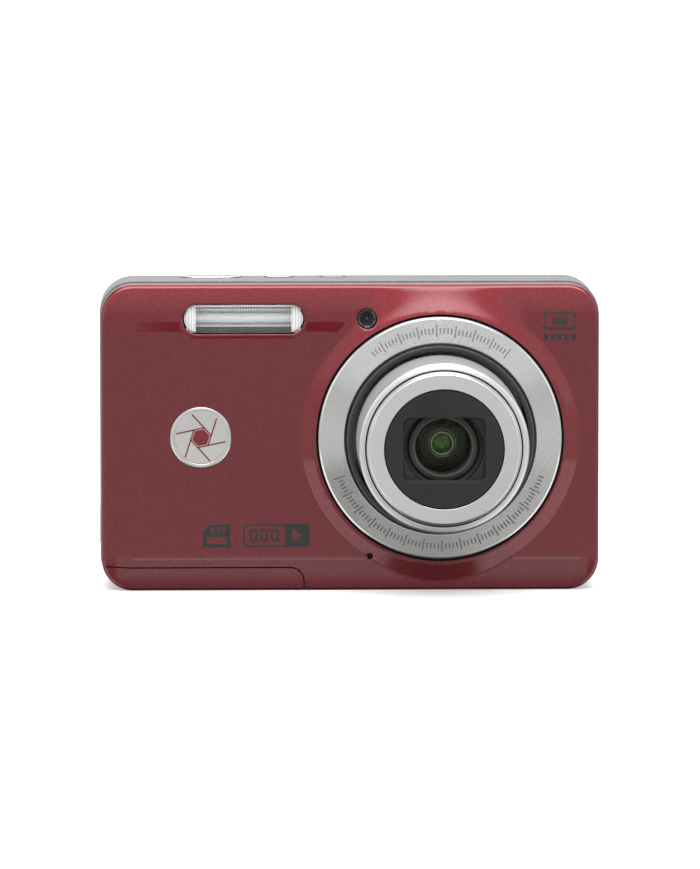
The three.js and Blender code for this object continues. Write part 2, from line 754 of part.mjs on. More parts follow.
const PIN_R = 0.35;
const KNUCKLE_R = 0.7;
function knuckle(y0, y1) {
  const ring = cut(
    rodAlongY(HINGE.x, HINGE.z, KNUCKLE_R, y0, y1, 16),
    rodAlongY(HINGE.x, HINGE.z, PIN_R + 0.12, y0 - 1, y1 + 1, 16),
  );
  const web = cut(
    box(HINGE.x - 1.6, HINGE.x - 0.3, y0, y1, HINGE.z - 0.2, HINGE.z + 0.2),
    rodAlongY(HINGE.x, HINGE.z, PIN_R + 0.12, y0 - 1, y1 + 1, 16),
  );
  return join(ring, web);
}
add(
  "battery_door_plate",
  join(
    box(-40.5, HINGE.x - 1.4, -6.4, 6.4, HINGE.z - 0.2, HINGE.z + 0.2),
    knuckle(-5.2, -3.4),
    knuckle(0.4, 2.4),
  ),
  STEEL,
);
add("door_hinge_pin", rodAlongY(HINGE.x, HINGE.z, PIN_R, -6.0, 6.4, 12), STEEL);

// ---- tripod bush, strap lug, port and screws ----
add(
  "tripod_bush",
  turned([
    [TRIPOD.bore, 0],
    [TRIPOD.r, 0],
    [TRIPOD.r, TRIPOD.flange],
    [TRIPOD.neck, TRIPOD.flange],
    [TRIPOD.neck, TRIPOD.z1],
    [TRIPOD.bore, TRIPOD.z1],
  ], 24)
    .rotateX(Math.PI / 2)
    .translate(TRIPOD.x, TRIPOD.y, 0),
  STEEL,
);

function strapLug() {
  const x0 = -WIDTH / 2 - 0.1;
  const block = box(x0, x0 + 1.75, LUG.y0, LUG.y1, LUG.z0, LUG.z1);
  return cut(
    block,
    box(x0 + 0.8, x0 + 3, LUG.y0 - 1, LUG.y1 + 1, LUG.z0 + 1.2, LUG.z1 - 1.2),
    box(x0 - 1, x0 + 3, LUG.y0 + 1.5, LUG.y1 + 1, LUG.z0 + 1.2, LUG.z1 - 1.2),
  );
}
add("strap_lug", strapLug(), STEEL);
add(
  "port_cover",
  box(-WIDTH / 2, PORT.thick - WIDTH / 2, PORT.y0, PORT.y1, PORT.z0, PORT.z1),
  RUBBER,
);
add(
  "usb_socket",
  cut(
    box(-43.9, -38.6, 3.4, 5.5, 39.3, 46.7),
    box(-45.0, -39.4, 3.8, 5.1, 39.7, 46.3),
  ),
  STEEL,
);

function screw({ side, a }) {
  const profile = [
    [0, 0],
    [SCREW_HEAD_R, 0],
    [SCREW_HEAD_R, 0.6],
    [SCREW_SHANK_R, 0.6],
    [SCREW_SHANK_R, SCREW_LENGTH],
    [0, SCREW_LENGTH],
  ];
  const points = profile.map(([r, along]) => new THREE.Vector2(r, along));
  const body = new THREE.LatheGeometry(points, 16);
  if (side === "bottom") return body.rotateX(Math.PI / 2).translate(a, SCREW_Y, 0.1);
  return body.rotateZ(Math.PI / 2).translate(WIDTH / 2 - 0.1, SCREW_Y, a);
}
SCREWS.forEach((entry) => add(entry.name, screw(entry), STEEL));

export default camera;
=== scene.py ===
"""Looks of the compact digital camera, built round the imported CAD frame.

Lengths in the shape code are millimetres in the frame's axes: +X right seen from the front,
the lens looks along -Y, +Z up.  Builder turns them into metres.
"""
import json
import math

import bmesh
import bpy
import numpy as np
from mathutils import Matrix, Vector
from mathutils.geometry import delaunay_2d_cdt


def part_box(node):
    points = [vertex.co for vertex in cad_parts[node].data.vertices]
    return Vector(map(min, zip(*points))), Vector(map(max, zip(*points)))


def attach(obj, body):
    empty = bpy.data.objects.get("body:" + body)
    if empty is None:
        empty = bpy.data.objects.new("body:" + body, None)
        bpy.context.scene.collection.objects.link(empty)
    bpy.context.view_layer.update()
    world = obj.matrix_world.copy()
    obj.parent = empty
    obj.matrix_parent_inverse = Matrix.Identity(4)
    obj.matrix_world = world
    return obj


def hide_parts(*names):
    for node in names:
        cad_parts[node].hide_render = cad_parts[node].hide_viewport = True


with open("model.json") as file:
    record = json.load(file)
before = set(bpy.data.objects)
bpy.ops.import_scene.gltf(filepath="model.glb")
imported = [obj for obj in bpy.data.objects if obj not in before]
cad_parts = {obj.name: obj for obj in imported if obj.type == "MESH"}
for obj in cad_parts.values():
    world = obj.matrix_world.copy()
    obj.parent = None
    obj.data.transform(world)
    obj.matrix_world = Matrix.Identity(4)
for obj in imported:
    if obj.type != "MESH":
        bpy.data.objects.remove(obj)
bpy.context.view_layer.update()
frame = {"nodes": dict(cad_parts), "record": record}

MM = 0.001


# ---------------------------------------------------------------- sizes from the frame
def node_box(node):
    """The node's box in millimetres, as (x0, x1), (y0, y1), (z0, z1)."""
    low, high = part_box(node)
    return tuple((low[i] / MM, high[i] / MM) for i in range(3))


def node_middle(node):
    return tuple(sum(pair) / 2 for pair in node_box(node))


def node_size(node):
    return tuple(pair[1] - pair[0] for pair in node_box(node))


def disc_of(node):
    """x, z, radius, y0 and y1 of a node that is round about Y."""
    (x0, x1), (y0, y1), (z0, z1) = node_box(node)
    return (x0 + x1) / 2, (z0 + z1) / 2, (x1 - x0) / 2, y0, y1


def slab_of(node):
    """x, z, width, height, y0 and y1 of a node that faces the front or the back."""
    (x0, x1), (y0, y1), (z0, z1) = node_box(node)
    return (x0 + x1) / 2, (z0 + z1) / 2, x1 - x0, z1 - z0, y0, y1


FRONT_BOX = node_box("front_cover")
REAR_BOX = node_box("rear_cover")
DOOR_BOX = node_box("battery_door")
LENS_X, LENS_Z, RING_R, RING_Y, _ = disc_of("lens_bezel_ring")
HALF_FRONT = FRONT_BOX[0][1]
TOP_FRONT = FRONT_BOX[2][1]
SEAM_FRONT = FRONT_BOX[1][1]
SEAM_REAR = REAR_BOX[1][0]
HALF_REAR = REAR_BOX[0][1]
TOP_REAR = REAR_BOX[2][1]
BACK_Y = REAR_BOX[1][1]
FACE_Y = node_box("lamp_window")[1][0]

FRONT_CORNER = 5.8
REAR_CORNER = 6.1
SKIN = 1.0  # thickness of the front shells
DOOR_GAP = 0.24
DOOR_TOP = DOOR_BOX[2][1]
DOOR_RIGHT = DOOR_BOX[0][1]
DOOR_BACK = DOOR_BOX[1][1]
DOOR_CORNER = 2.4
MOUND_R = 25.6  # foot of the cone round the lens, on a flat panel
MOUND_SLOPE = 0.41
HOLE_R = RING_R + 0.27
EDGE_ROUND = 0.75
GRID = 0.65  # spacing of the front skin's points
SMOOTH_ANGLE = 35.0


# ---------------------------------------------------------------- mesh helpers
class Builder:
    """Collects points in millimetres and faces, and makes one mesh object."""

    def __init__(self):
        self.points = []
        self.faces = []

    def point(self, x, y, z):
        self.points.append((x * MM, y * MM, z * MM))
        return len(self.points) - 1

    def loop(self, points):
        return [self.point(*p) for p in points]

    def bridge(self, a, b, closed=True):
        count = len(a)
        for i in range(count if closed else count - 1):
            j = (i + 1) % count
            self.faces.append((a[i], a[j], b[j], b[i]))

    def fan(self, centre, ring):
        for i in range(len(ring)):
            self.faces.append((centre, ring[i], ring[(i + 1) % len(ring)]))

    def box(self, x0, x1, y0, y1, z0, z1):
        low = self.loop([(x0, y0, z0), (x1, y0, z0), (x1, y1, z0), (x0, y1, z0)])
        high = self.loop([(x0, y0, z1), (x1, y0, z1), (x1, y1, z1), (x0, y1, z1)])
        self.bridge(low, high)
        self.faces.append(tuple(reversed(low)))
        self.faces.append(tuple(high))

    def build(self, name, material, weighted=True):
        mesh = bpy.data.meshes.new(name)
        mesh.from_pydata(self.points, [], self.faces)
        work = bmesh.new()
        work.from_mesh(mesh)
        bmesh.ops.remove_doubles(work, verts=work.verts, dist=1e-7)
        bmesh.ops.recalc_face_normals(work, faces=work.faces)
        work.to_mesh(mesh)
        work.free()
        piece = bpy.data.objects.new(name, mesh)
        bpy.context.scene.collection.objects.link(piece)
        mesh.materials.append(material)
        shade(piece, weighted)
        return piece


def shade(piece, weighted=True):
    piece.data.shade_smooth()
    piece.data.set_sharp_from_angle(angle=math.radians(SMOOTH_ANGLE))
    if weighted:
        modifier = piece.modifiers.new("flat_faces_stay_flat", "WEIGHTED_NORMAL")
        modifier.keep_sharp = True
        modifier.weight = 100


def soften(points, radius, steps=4):
    """Rounds each corner of a closed polygon by an arc of about the radius."""
    out = []
    count = len(points)
    for i, here in enumerate(points):
        p = Vector(here)
        a = Vector(points[i - 1]) - p
        b = Vector(points[(i + 1) % count]) - p
        reach = min(radius, a.length * 0.45, b.length * 0.45)
        start = p + a.normalized() * reach
        end = p + b.normalized() * reach
        for k in range(steps + 1):
            t = k / steps
            q = start * (1 - t) ** 2 + p * 2 * t * (1 - t) + end * t * t
            out.append((q.x, q.y))
    return out


def lathe_into(builder, profile, centre, axis="Y", sides=144):
    """Turns a closed profile of (radius, along) about an axis line through `centre`."""

    def place(r, along, angle):
        u = r * math.cos(angle)
        v = r * math.sin(angle)
        if axis == "Y":
            return (centre[0] + u, along, centre[1] + v)
        if axis == "Z":
            return (centre[0] + u, centre[1] + v, along)
        return (along, centre[0] + u, centre[1] + v)

    loops = []
    for r, along in profile:
        if r < 1e-6:
            loops.append([builder.point(*place(0, along, 0))])
        else:
            turn = [2 * math.pi * k / sides for k in range(sides)]
            loops.append([builder.point(*place(r, along, a)) for a in turn])
    for a, b in zip(loops, loops[1:] + loops[:1]):
        if len(a) == 1 and len(b) == 1:
            continue
        if len(a) == 1:
            builder.fan(a[0], b)
        elif len(b) == 1:
            builder.fan(b[0], a)
        else:
            builder.bridge(a, b)


def lathe(name, profile, material, centre, axis="Y", sides=144):
    builder = Builder()
    lathe_into(builder, profile, centre, axis, sides)
    return builder.build(name, material)


def rounded_rectangle(cx, cz, w, h, r, inset=0.0, arc=10):
    """Points of a rounded rectangle, moved inwards by `inset`."""
    r = max(r - inset, 0.02)
    half_w = w / 2 - inset
    half_h = h / 2 - inset
    points = []
    corners = [(1, -1, -90), (1, 1, 0), (-1, 1, 90), (-1, -1, 180)]
    for sx, sz, start in corners:
        ax = cx + sx * (half_w - r)
        az = cz + sz * (half_h - r)
        for k in range(arc + 1):
            angle = math.radians(start + 90 * k / arc)
            points.append((ax + r * math.cos(angle), az + r * math.sin(angle)))
    return points


def filled_sides(outline):
    """A rounded rectangle's outline with more points on each straight side."""
    quarter = len(outline) // 4
    steps = [k / 17 for k in range(1, 17)]
    points = []
    for i, (x, z) in enumerate(outline):
        points.append((x, z))
        if i % quarter == quarter - 1:
            x1, z1 = outline[(i + 1) % len(outline)]
            points += [(x + (x1 - x) * t, z + (z1 - z) * t) for t in steps]
    return points


def circle(cx, cz, r, sides=48):
    turn = [2 * math.pi * k / sides for k in range(sides)]
    return [(cx + r * math.cos(a), cz + r * math.sin(a)) for a in turn]


# How a 2-D point (u, v) at w along the third axis lies in space, by the plane of u and v.
IN_PLANE = {
    "XZ": lambda u, v, w: (u, w, v),
    "XY": lambda u, v, w: (u, v, w),
    "YZ": lambda u, v, w: (w, u, v),
}


def pillow_into(builder, outline, y_low, y_high, edge, crown=0.0, plane="XZ"):
    """A button-like slab: `outline(inset)` gives its loop; the y_high end has a rounded edge
    and may rise to a crown."""

    def lift(points, along):
        return [IN_PLANE[plane](u, v, along) for u, v in points]

    steps = 4
    sign = 1 if y_high > y_low else -1
    loops = [builder.loop(lift(outline(0.0), y_low))]
    for k in range(steps + 1):
        angle = math.pi / 2 * k / steps
        inset = edge * (1 - math.cos(angle))
        along = y_high - sign * edge * (1 - math.sin(angle))
        loops.append(builder.loop(lift(outline(inset), along)))
    if crown:
        base = outline(edge)
        cx = sum(p[0] for p in base) / len(base)
        cz = sum(p[1] for p in base) / len(base)
        rings = 5
        for k in range(1, rings):
            t = k / rings
            points = [(cx + (u - cx) * (1 - t), cz + (v - cz) * (1 - t)) for u, v in base]
            loops.append(builder.loop(lift(points, y_high + sign * crown * (1 - (1 - t) ** 2))))
        centre = builder.point(*lift([(cx, cz)], y_high + sign * crown)[0])
        builder.fan(centre, loops[-1])
    else:
        builder.faces.append(tuple(loops[-1]))
    for a, b in zip(loops, loops[1:]):
        builder.bridge(a, b)
    builder.faces.append(tuple(reversed(loops[0])))


def pillow(name, outline, y_low, y_high, edge, material, crown=0.0, plane="XZ"):
    builder = Builder()
    pillow_into(builder, outline, y_low, y_high, edge, crown, plane)
    return builder.build(name, material)


def cut_away(piece, builder, bevel=0.0):
    """Cuts the builder's closed solids out of a piece and softens the new edges."""
    mesh = bpy.data.meshes.new("cutter")
    mesh.from_pydata(builder.points, [], builder.faces)
    work = bmesh.new()
    work.from_mesh(mesh)
    bmesh.ops.recalc_face_normals(work, faces=work.faces)
    work.to_mesh(mesh)
    work.free()
    cutter = bpy.data.objects.new("cutter", mesh)
    bpy.context.scene.collection.objects.link(cutter)
    piece.modifiers.clear()
    modifier = piece.modifiers.new("cut", "BOOLEAN")
    modifier.operation = "DIFFERENCE"
    modifier.solver = "EXACT"
    modifier.use_self = True
    modifier.object = cutter
    if bevel:
        edge = piece.modifiers.new("edge", "BEVEL")
        edge.width = bevel * MM
        edge.segments = 2
        edge.limit_method = "ANGLE"
        edge.angle_limit = math.radians(50)
        edge.use_clamp_overlap = True
    bpy.context.view_layer.update()
    ready = piece.evaluated_get(bpy.context.evaluated_depsgraph_get())
    done = bpy.data.meshes.new_from_object(ready)
    piece.modifiers.clear()
    piece.data = done
    bpy.data.objects.remove(cutter)
    shade(piece)


def keep(piece, body, slot, *nodes):
    """Rides the piece on its body and hides the CAD nodes it stands for; `slot` is not used."""
    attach(piece, body)
    if nodes:
        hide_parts(*nodes)


# ---------------------------------------------------------------- materials
class Nodes:
    """A material under construction."""

    def __init__(self, name, color, roughness, metallic=0.0):
        self.material = bpy.data.materials.new(name)
        self.material.use_nodes = True
        self.tree = self.material.node_tree
        self.shader = self.tree.nodes["Principled BSDF"]
        self.shader.inputs["Base Color"].default_value = (*color, 1.0)
        self.shader.inputs["Roughness"].default_value = roughness
        self.shader.inputs["Metallic"].default_value = metallic
        self.material.diffuse_color = (*color, 1.0)
        self.where = self.tree.nodes.new("ShaderNodeTexCoord").outputs["Object"]

    def set(self, **values):
        for key, value in values.items():
            self.shader.inputs[key.replace("_", " ")].default_value = value
        return self

    def new(self, kind, **settings):
        node = self.tree.nodes.new(kind)
        for key, value in settings.items():
            setattr(node, key, value)
        return node

    def link(self, a, b):
        self.tree.links.new(a, b)

    def noise(self, scale, detail=2.0, roughness=0.5, stretch=None):
        node = self.new("ShaderNodeTexNoise")
        node.inputs["Scale"].default_value = scale
        node.inputs["Detail"].default_value = detail
        node.inputs["Roughness"].default_value = roughness
        source = self.where
        if stretch:
            mapping = self.new("ShaderNodeMapping")
            mapping.inputs["Scale"].default_value = stretch
            self.link(source, mapping.inputs["Vector"])
            source = mapping.outputs["Vector"]
        self.link(source, node.inputs["Vector"])
        return node.outputs["Fac"]

    def ramp(self, value, low, high, color_low, color_high):
        node = self.new("ShaderNodeValToRGB")
        node.color_ramp.elements[0].position = low
        node.color_ramp.elements[1].position = high
        node.color_ramp.elements[0].color = (*color_low, 1.0)
        node.color_ramp.elements[1].color = (*color_high, 1.0)
        self.link(value, node.inputs["Fac"])
        return node.outputs["Color"]

    def span(self, value, low, high):
        """Maps 0..1 to low..high."""
        node = self.new("ShaderNodeMapRange")
        node.inputs["To Min"].default_value = low
        node.inputs["To Max"].default_value = high
        self.link(value, node.inputs["Value"])
        return node.outputs["Result"]

    def bump(self, height, strength, distance):
        node = self.new("ShaderNodeBump")
        node.inputs["Strength"].default_value = strength
        node.inputs["Distance"].default_value = distance
        self.link(height, node.inputs["Height"])
        self.link(node.outputs["Normal"], self.shader.inputs["Normal"])

    def color(self, socket):
        self.link(socket, self.shader.inputs["Base Color"])

    def roughness(self, socket):
        self.link(socket, self.shader.inputs["Roughness"])


def mixed(color, factor):
    return tuple(min(1.0, c * factor) for c in color)


def metallic_paint(name, color, metallic, roughness, coat):
    """Paint with flakes: each cell tilts and shades its own way under a smooth clear coat."""
    n = Nodes(name, color, roughness, metallic)
    flakes = n.new("ShaderNodeTexVoronoi")
    flakes.inputs["Scale"].default_value = 5200.0
    n.link(n.where, flakes.inputs["Vector"])
    cell = n.new("ShaderNodeSeparateColor")
    n.link(flakes.outputs["Color"], cell.inputs["Color"])
    cloud = n.noise(900.0, 3.0, 0.6)
    blend = n.new("ShaderNodeMath", operation="ADD")
    n.link(n.span(cell.outputs["Red"], 0.0, 0.65), blend.inputs[0])
    n.link(n.span(cloud, 0.0, 0.35), blend.inputs[1])
    n.color(n.ramp(blend.outputs["Value"], 0.05, 0.95, mixed(color, 0.72), mixed(color, 1.3)))
    n.bump(cell.outputs["Green"], 0.10, 0.00002)
    n.set(Coat_Weight=coat, Coat_Roughness=0.03, Coat_IOR=1.5)
    return n.material


def turned_metal(name, color, roughness, centre, grooves=0.05):
    """Satin metal with very fine rings round the lens axis."""
    n = Nodes(name, color, roughness, 1.0)
    away = n.new("ShaderNodeMapping")
    away.inputs["Location"].default_value = (-centre[0] * MM, 0.0, -centre[1] * MM)
    n.link(n.where, away.inputs["Vector"])
    flat = n.new("ShaderNodeVectorMath", operation="MULTIPLY")
    flat.inputs[1].default_value = (1.0, 0.0, 1.0)
    n.link(away.outputs["Vector"], flat.inputs[0])
    radius = n.new("ShaderNodeVectorMath", operation="LENGTH")
    n.link(flat.outputs["Vector"], radius.inputs[0])
    rings = n.new("ShaderNodeTexNoise", noise_dimensions="1D")
    rings.inputs["Scale"].default_value = 9000.0
    rings.inputs["Detail"].default_value = 3.0
    n.link(radius.outputs["Value"], rings.inputs["W"])
    grain = n.noise(2600.0, 2.0)
    both = n.new("ShaderNodeMath", operation="ADD")
    n.link(rings.outputs["Fac"], both.inputs[0])
    n.link(grain, both.inputs[1])
    n.bump(both.outputs["Value"], grooves, 0.00003)
    n.roughness(n.span(grain, roughness - 0.04, roughness + 0.05))
    n.color(n.ramp(grain, 0.2, 0.8, mixed(color, 0.94), mixed(color, 1.05)))
    return n.material


def grained(name, color, roughness, metallic=0.0, scale=2500.0, bump=0.15, vary=0.12, specular=0.5):
    """Moulded or painted surface with fine grain."""
    n = Nodes(name, color, roughness, metallic)
    grain = n.noise(scale, 3.0, 0.6)
    wear = n.noise(scale / 40, 3.0, 0.6)
    n.bump(grain, bump, 0.00004)
    n.color(n.ramp(wear, 0.3, 0.7, mixed(color, 1 - vary), mixed(color, 1 + vary)))
    n.roughness(n.span(grain, max(0.02, roughness - 0.05), roughness + 0.06))
    n.set(Specular_IOR_Level=specular)
    return n.material


def ribbed(name, dark, pale, pitch):
    """Pale plastic with fine upright ribs, `pitch` apart in mm."""
    n = Nodes(name, pale, 0.35)
    ribs = n.new("ShaderNodeTexWave", bands_direction="X")
    ribs.inputs["Scale"].default_value = 2 * math.pi / (20 * pitch * MM)
    n.link(n.where, ribs.inputs["Vector"])
    n.color(n.ramp(ribs.outputs["Fac"], 0.05, 0.6, dark, pale))
    return n.material


def brushed(name, color, roughness, stretch):
    n = Nodes(name, color, roughness, 1.0)
    lines = n.noise(1.0, 3.0, 0.6, stretch)
    n.bump(lines, 0.12, 0.00002)
    n.roughness(n.span(lines, roughness - 0.06, roughness + 0.1))
    n.color(n.ramp(lines, 0.3, 0.7, mixed(color, 0.85), mixed(color, 1.1)))
    return n.material


def coated_glass(name, tint, clearness, coat_tint):
    """Lens glass: mostly clear, with a coloured coating that shows in its reflections."""
    n = Nodes(name, tint, 0.015)
    n.set(Alpha=clearness, IOR=1.6, Specular_Tint=(*coat_tint, 1.0), Specular_IOR_Level=0.9)
    depth = n.noise(60.0, 1.0)
    n.color(n.ramp(depth, 0.3, 0.7, mixed(tint, 0.8), mixed(tint, 1.2)))
    n.material.blend_method = "BLEND"
    return n.material


def clear_plastic(name, tint, clearness, roughness):
    n = Nodes(name, tint, roughness)
    n.set(Alpha=clearness, IOR=1.49, Coat_Weight=0.6, Coat_Roughness=0.03)
    haze = n.noise(700.0, 2.0)
    n.roughness(n.span(haze, roughness - 0.03, roughness + 0.08))
    return n.material


def screen_glass(name):
    """Black glossy window with the slightly lighter display behind it."""
    n = Nodes(name, (0.006, 0.006, 0.007), 0.06)
    x, z, w, h, _, _ = slab_of("lcd_window")
    apart = n.new("ShaderNodeSeparateXYZ")
    n.link(n.where, apart.inputs["Vector"])
    sides = []
    for axis, middle, half in (("X", x, w / 2 - 2.3), ("Z", z, h / 2 - 2.4)):
        centred = n.new("ShaderNodeMath", operation="SUBTRACT")
        centred.inputs[1].default_value = middle * MM
        n.link(apart.outputs[axis], centred.inputs[0])
        size = n.new("ShaderNodeMath", operation="ABSOLUTE")
        n.link(centred.outputs["Value"], size.inputs[0])
        inside = n.new("ShaderNodeMath", operation="LESS_THAN")
        inside.inputs[1].default_value = half * MM
        n.link(size.outputs["Value"], inside.inputs[0])
        sides.append(inside.outputs["Value"])
    both = n.new("ShaderNodeMath", operation="MULTIPLY")
    n.link(sides[0], both.inputs[0])
    n.link(sides[1], both.inputs[1])
    n.color(n.ramp(both.outputs["Value"], 0.0, 1.0, (0.004, 0.004, 0.005), (0.016, 0.017, 0.019)))
    n.set(Coat_Weight=1.0, Coat_Roughness=0.01)
    smear = n.noise(45.0, 3.0)
    n.roughness(n.span(smear, 0.05, 0.12))
    return n.material


RED = metallic_paint("red_metallic_paint", (0.17, 0.017, 0.023), 1.0, 0.48, 1.0)
SILVER = metallic_paint("silver_grey_paint", (0.21, 0.215, 0.22), 0.7, 0.38, 0.3)
SATIN = turned_metal("turned_satin_metal", (0.60, 0.60, 0.59), 0.17, (LENS_X, LENS_Z))
SATIN_LIGHT = turned_metal("fine_satin_metal", (0.66, 0.66, 0.65), 0.30, (LENS_X, LENS_Z), 0.03)
BADGE_METAL = turned_metal("badge_satin_metal", (0.62, 0.62, 0.61), 0.30, disc_of("badge_plate")[:2])
# A darker, non-metallic copy of the satin metal for the outer barrel's side: painted shade, for the
# shade deep in the bezel's opening.
BARREL_SIDE_SHADE = grained("barrel_side_painted_shade", (0.30, 0.30, 0.30), 0.6, 0.0, 2600.0, 0.08, 0.05, 0.15)
MARK_METAL = grained("engraved_marks", (0.17, 0.17, 0.17), 0.4, 1.0, 1500.0, 0.05, 0.05)
LENS_RIM = grained("inner_lens_rim", (0.66, 0.70, 0.50), 0.4, 0.0, 1500.0, 0.03, 0.05)
BRIGHT = grained("bright_plating", (0.86, 0.86, 0.86), 0.12, 1.0, 1500.0, 0.02, 0.03)
BLACK = grained("matt_black_plastic", (0.016, 0.015, 0.0155), 0.55)
PLATE_BLACK = grained("front_plate_black", (0.013, 0.012, 0.0125), 0.6, specular=0.25)
DEEP_BLACK = grained("lens_black", (0.006, 0.006, 0.006), 0.6)
CELL_BLACK = grained("lens_cell_black", (0.022, 0.021, 0.013), 0.38, 0.0, 1500.0, 0.05)
RING_GREY = grained("lens_ring_grey", (0.062, 0.062, 0.058), 0.5, 0.0, 2000.0, 0.1)
DARK_GREY = grained("dark_grey_plastic", (0.030, 0.028, 0.028), 0.5)
LAMP = grained("lamp_lens_dark", (0.02, 0.022, 0.022), 0.08, 0.0, 600.0, 0.02)
PRINT = grained("dark_print", (0.011, 0.011, 0.011), 0.6, 0.0, 1800.0, 0.05)
STEEL = brushed("brushed_steel", (0.52, 0.52, 0.53), 0.3, (300.0, 6000.0, 300.0))
BOARD = grained("solder_mask", (0.02, 0.14, 0.06), 0.4, 0.0, 900.0, 0.1, 0.3)
SLEEVE = grained("battery_sleeve", (0.06, 0.065, 0.07), 0.4)
RUBBER = grained("soft_rubber", (0.032, 0.032, 0.034), 0.75, 0.0, 1800.0, 0.2)
MIRROR = grained("polished_reflector", (0.9, 0.9, 0.9), 0.14, 1.0, 900.0, 0.08, 0.03)
GLASS = coated_glass("coated_front_glass", (0.012, 0.016, 0.006), 0.10, (0.45, 0.7, 0.35))
INNER_GLASS = coated_glass("coated_inner_glass", (0.045, 0.10, 0.03), 0.85, (0.5, 1.0, 0.3))
WINDOW = clear_plastic("flash_window_plastic", (0.80, 0.81, 0.81), 0.015, 0.12)
FLASH_PALE = ribbed("flash_diffuser", (0.62, 0.63, 0.63), (0.93, 0.94, 0.94), 0.5)
FLASH_END = ribbed("flash_end_plastic", (0.40, 0.41, 0.41), (0.68, 0.69, 0.69), 0.5)
FLASH_TUBE = clear_plastic("flash_tube_clear", (0.93, 0.93, 0.94), 0.6, 0.15)
BADGE_RED = grained("badge_inlay", (0.13, 0.012, 0.016), 0.35, 0.3, 1500.0, 0.05)
LIGHT_PIPE = clear_plastic("status_light_plastic", (0.75, 0.85, 0.7), 0.7, 0.2)
SCREEN = screen_glass("screen_window_glass")

NODE_LOOKS = {
    "red_paint": RED,
    "silver_paint": SILVER,
    "satin_metal": SATIN,
    "bright_trim": BRIGHT,
    "black_plastic": BLACK,
    "dark_grey_plastic": DARK_GREY,
    "optical_glass": INNER_GLASS,
    "clear_plastic": LIGHT_PIPE,
    "screen": SCREEN,
    "steel": STEEL,
    "circuit_board": BOARD,
    "battery_can": SLEEVE,
    "reflector": MIRROR,
    "rubber": RUBBER,
}


def dress_cad_nodes():
    """Every CAD node that stays gets the procedural material of its slot."""
    for row in frame["record"]["subparts"]:
        node = frame["nodes"][row["node"]]
        node.data.materials.clear()
        node.data.materials.append(NODE_LOOKS[row["material_slot"]])


# ---------------------------------------------------------------- the front skin
def smooth_min(a, b, k):
    h = max(k - abs(a - b), 0.0) / k
    return min(a, b) - h * h * k / 4


# Where the flat panel starts to bend back towards each edge, and by how much at the edge.
TOP_BEND, TOP_DROP = 47.4, 1.35
LEFT_BEND, LEFT_DROP = -39.8, 0.55
RIGHT_BEND, RIGHT_DROP = 42.0, 0.3
BOTTOM_CREASE = 6.2


def panel_drop(x, z):
    """How far the panel bends back at (x, z)."""
    drop = 0.0
    if z > TOP_BEND:
        drop += TOP_DROP * ((z - TOP_BEND) / (TOP_FRONT - TOP_BEND)) ** 2
    if x < LEFT_BEND:
        drop += LEFT_DROP * ((LEFT_BEND - x) / (HALF_FRONT + LEFT_BEND)) ** 2
    if x > RIGHT_BEND:
        drop += RIGHT_DROP * ((x - RIGHT_BEND) / (HALF_FRONT - RIGHT_BEND)) ** 2
    if z < BOTTOM_CREASE:
        below = (BOTTOM_CREASE - z) / BOTTOM_CREASE
        drop += 0.30 * below + 0.35 * below * below
    return drop


def relief(x, z):
    """The front's y at (x, z): the panel, with the cone round the lens."""
    r = math.hypot(x - LENS_X, z - LENS_Z)
    cone = FACE_Y + (r - MOUND_R) * MOUND_SLOPE
    above = min(max((z - LENS_Z - 12.0) / 12.0, 0.0), 1.0)
    return smooth_min(FACE_Y + panel_drop(x, z), cone, 0.02 + 0.78 * above)


def foot_rings():
    """Points close together across the cone's foot, which keep its crease crisp, and round the
    lens hole."""
    points = []
    for k in range(400):
        c = math.cos(math.tau * k / 400)
        s = math.sin(math.tau * k / 400)
        foot = MOUND_R
        for _ in range(4):
            foot = MOUND_R + panel_drop(LENS_X + foot * c, LENS_Z + foot * s) / MOUND_SLOPE
        radii = [foot + d for d in (-0.25, -0.07, 0.07, 0.25)] + [HOLE_R + 0.42, HOLE_R + 0.9]
        points += [(LENS_X + r * c, LENS_Z + r * s) for r in radii]
    return np.array(points)


def outline_columns(half, top, corner, step=1.1, arc=14):
    """Points round a rounded rectangle with outward normals, anticlockwise from bottom left."""
    columns = []

    def straight(x0, z0, x1, z1, normal):
        length = math.hypot(x1 - x0, z1 - z0)
        count = max(2, round(length / step))
        for k in range(1, count):
            t = k / count
            columns.append((x0 + (x1 - x0) * t, z0 + (z1 - z0) * t, *normal))

    def bend(cx, cz, start):
        for k in range(arc + 1):
            angle = math.radians(start + 90 * k / arc)
            c = math.cos(angle)
            s = math.sin(angle)
            columns.append((cx + corner * c, cz + corner * s, c, s))

    high = top - corner
    side = half - corner
    straight(-side, 0.0, side, 0.0, (0, -1))
    bend(side, corner, -90)
    straight(half, corner, half, high, (1, 0))
    bend(side, high, 0)
    straight(side, top, -side, top, (0, 1))
    bend(-side, high, 90)
    straight(-half, high, -half, corner, (-1, 0))
    bend(-side, corner, 180)
    return columns


def inside(points, polygon):
    """Which of the points lie in the polygon, both as arrays."""
    x, z = points[:, 0], points[:, 1]
    hit = np.zeros(len(points), dtype=bool)
    x0, z0 = polygon[-1]
    for x1, z1 in polygon:
        crosses = (z0 > z) != (z1 > z)
        if z1 != z0:
            hit ^= crosses & (x < (x1 - x0) * (z - z0) / (z1 - z0) + x0)
        x0, z0 = x1, z1
    return hit


def distance(points, polygon):
    """Each point's distance to the polygon's nearest edge."""
    best = np.full(len(points), 1e9)
    a = np.array(polygon[-1])
    for corner in polygon:
        b = np.array(corner)
        along = b - a
        size = max(float(along @ along), 1e-12)
        t = np.clip(((points - a) @ along) / size, 0, 1)
        best = np.minimum(best, np.hypot(*(points - a - t[:, None] * along).T))
        a = b
    return best


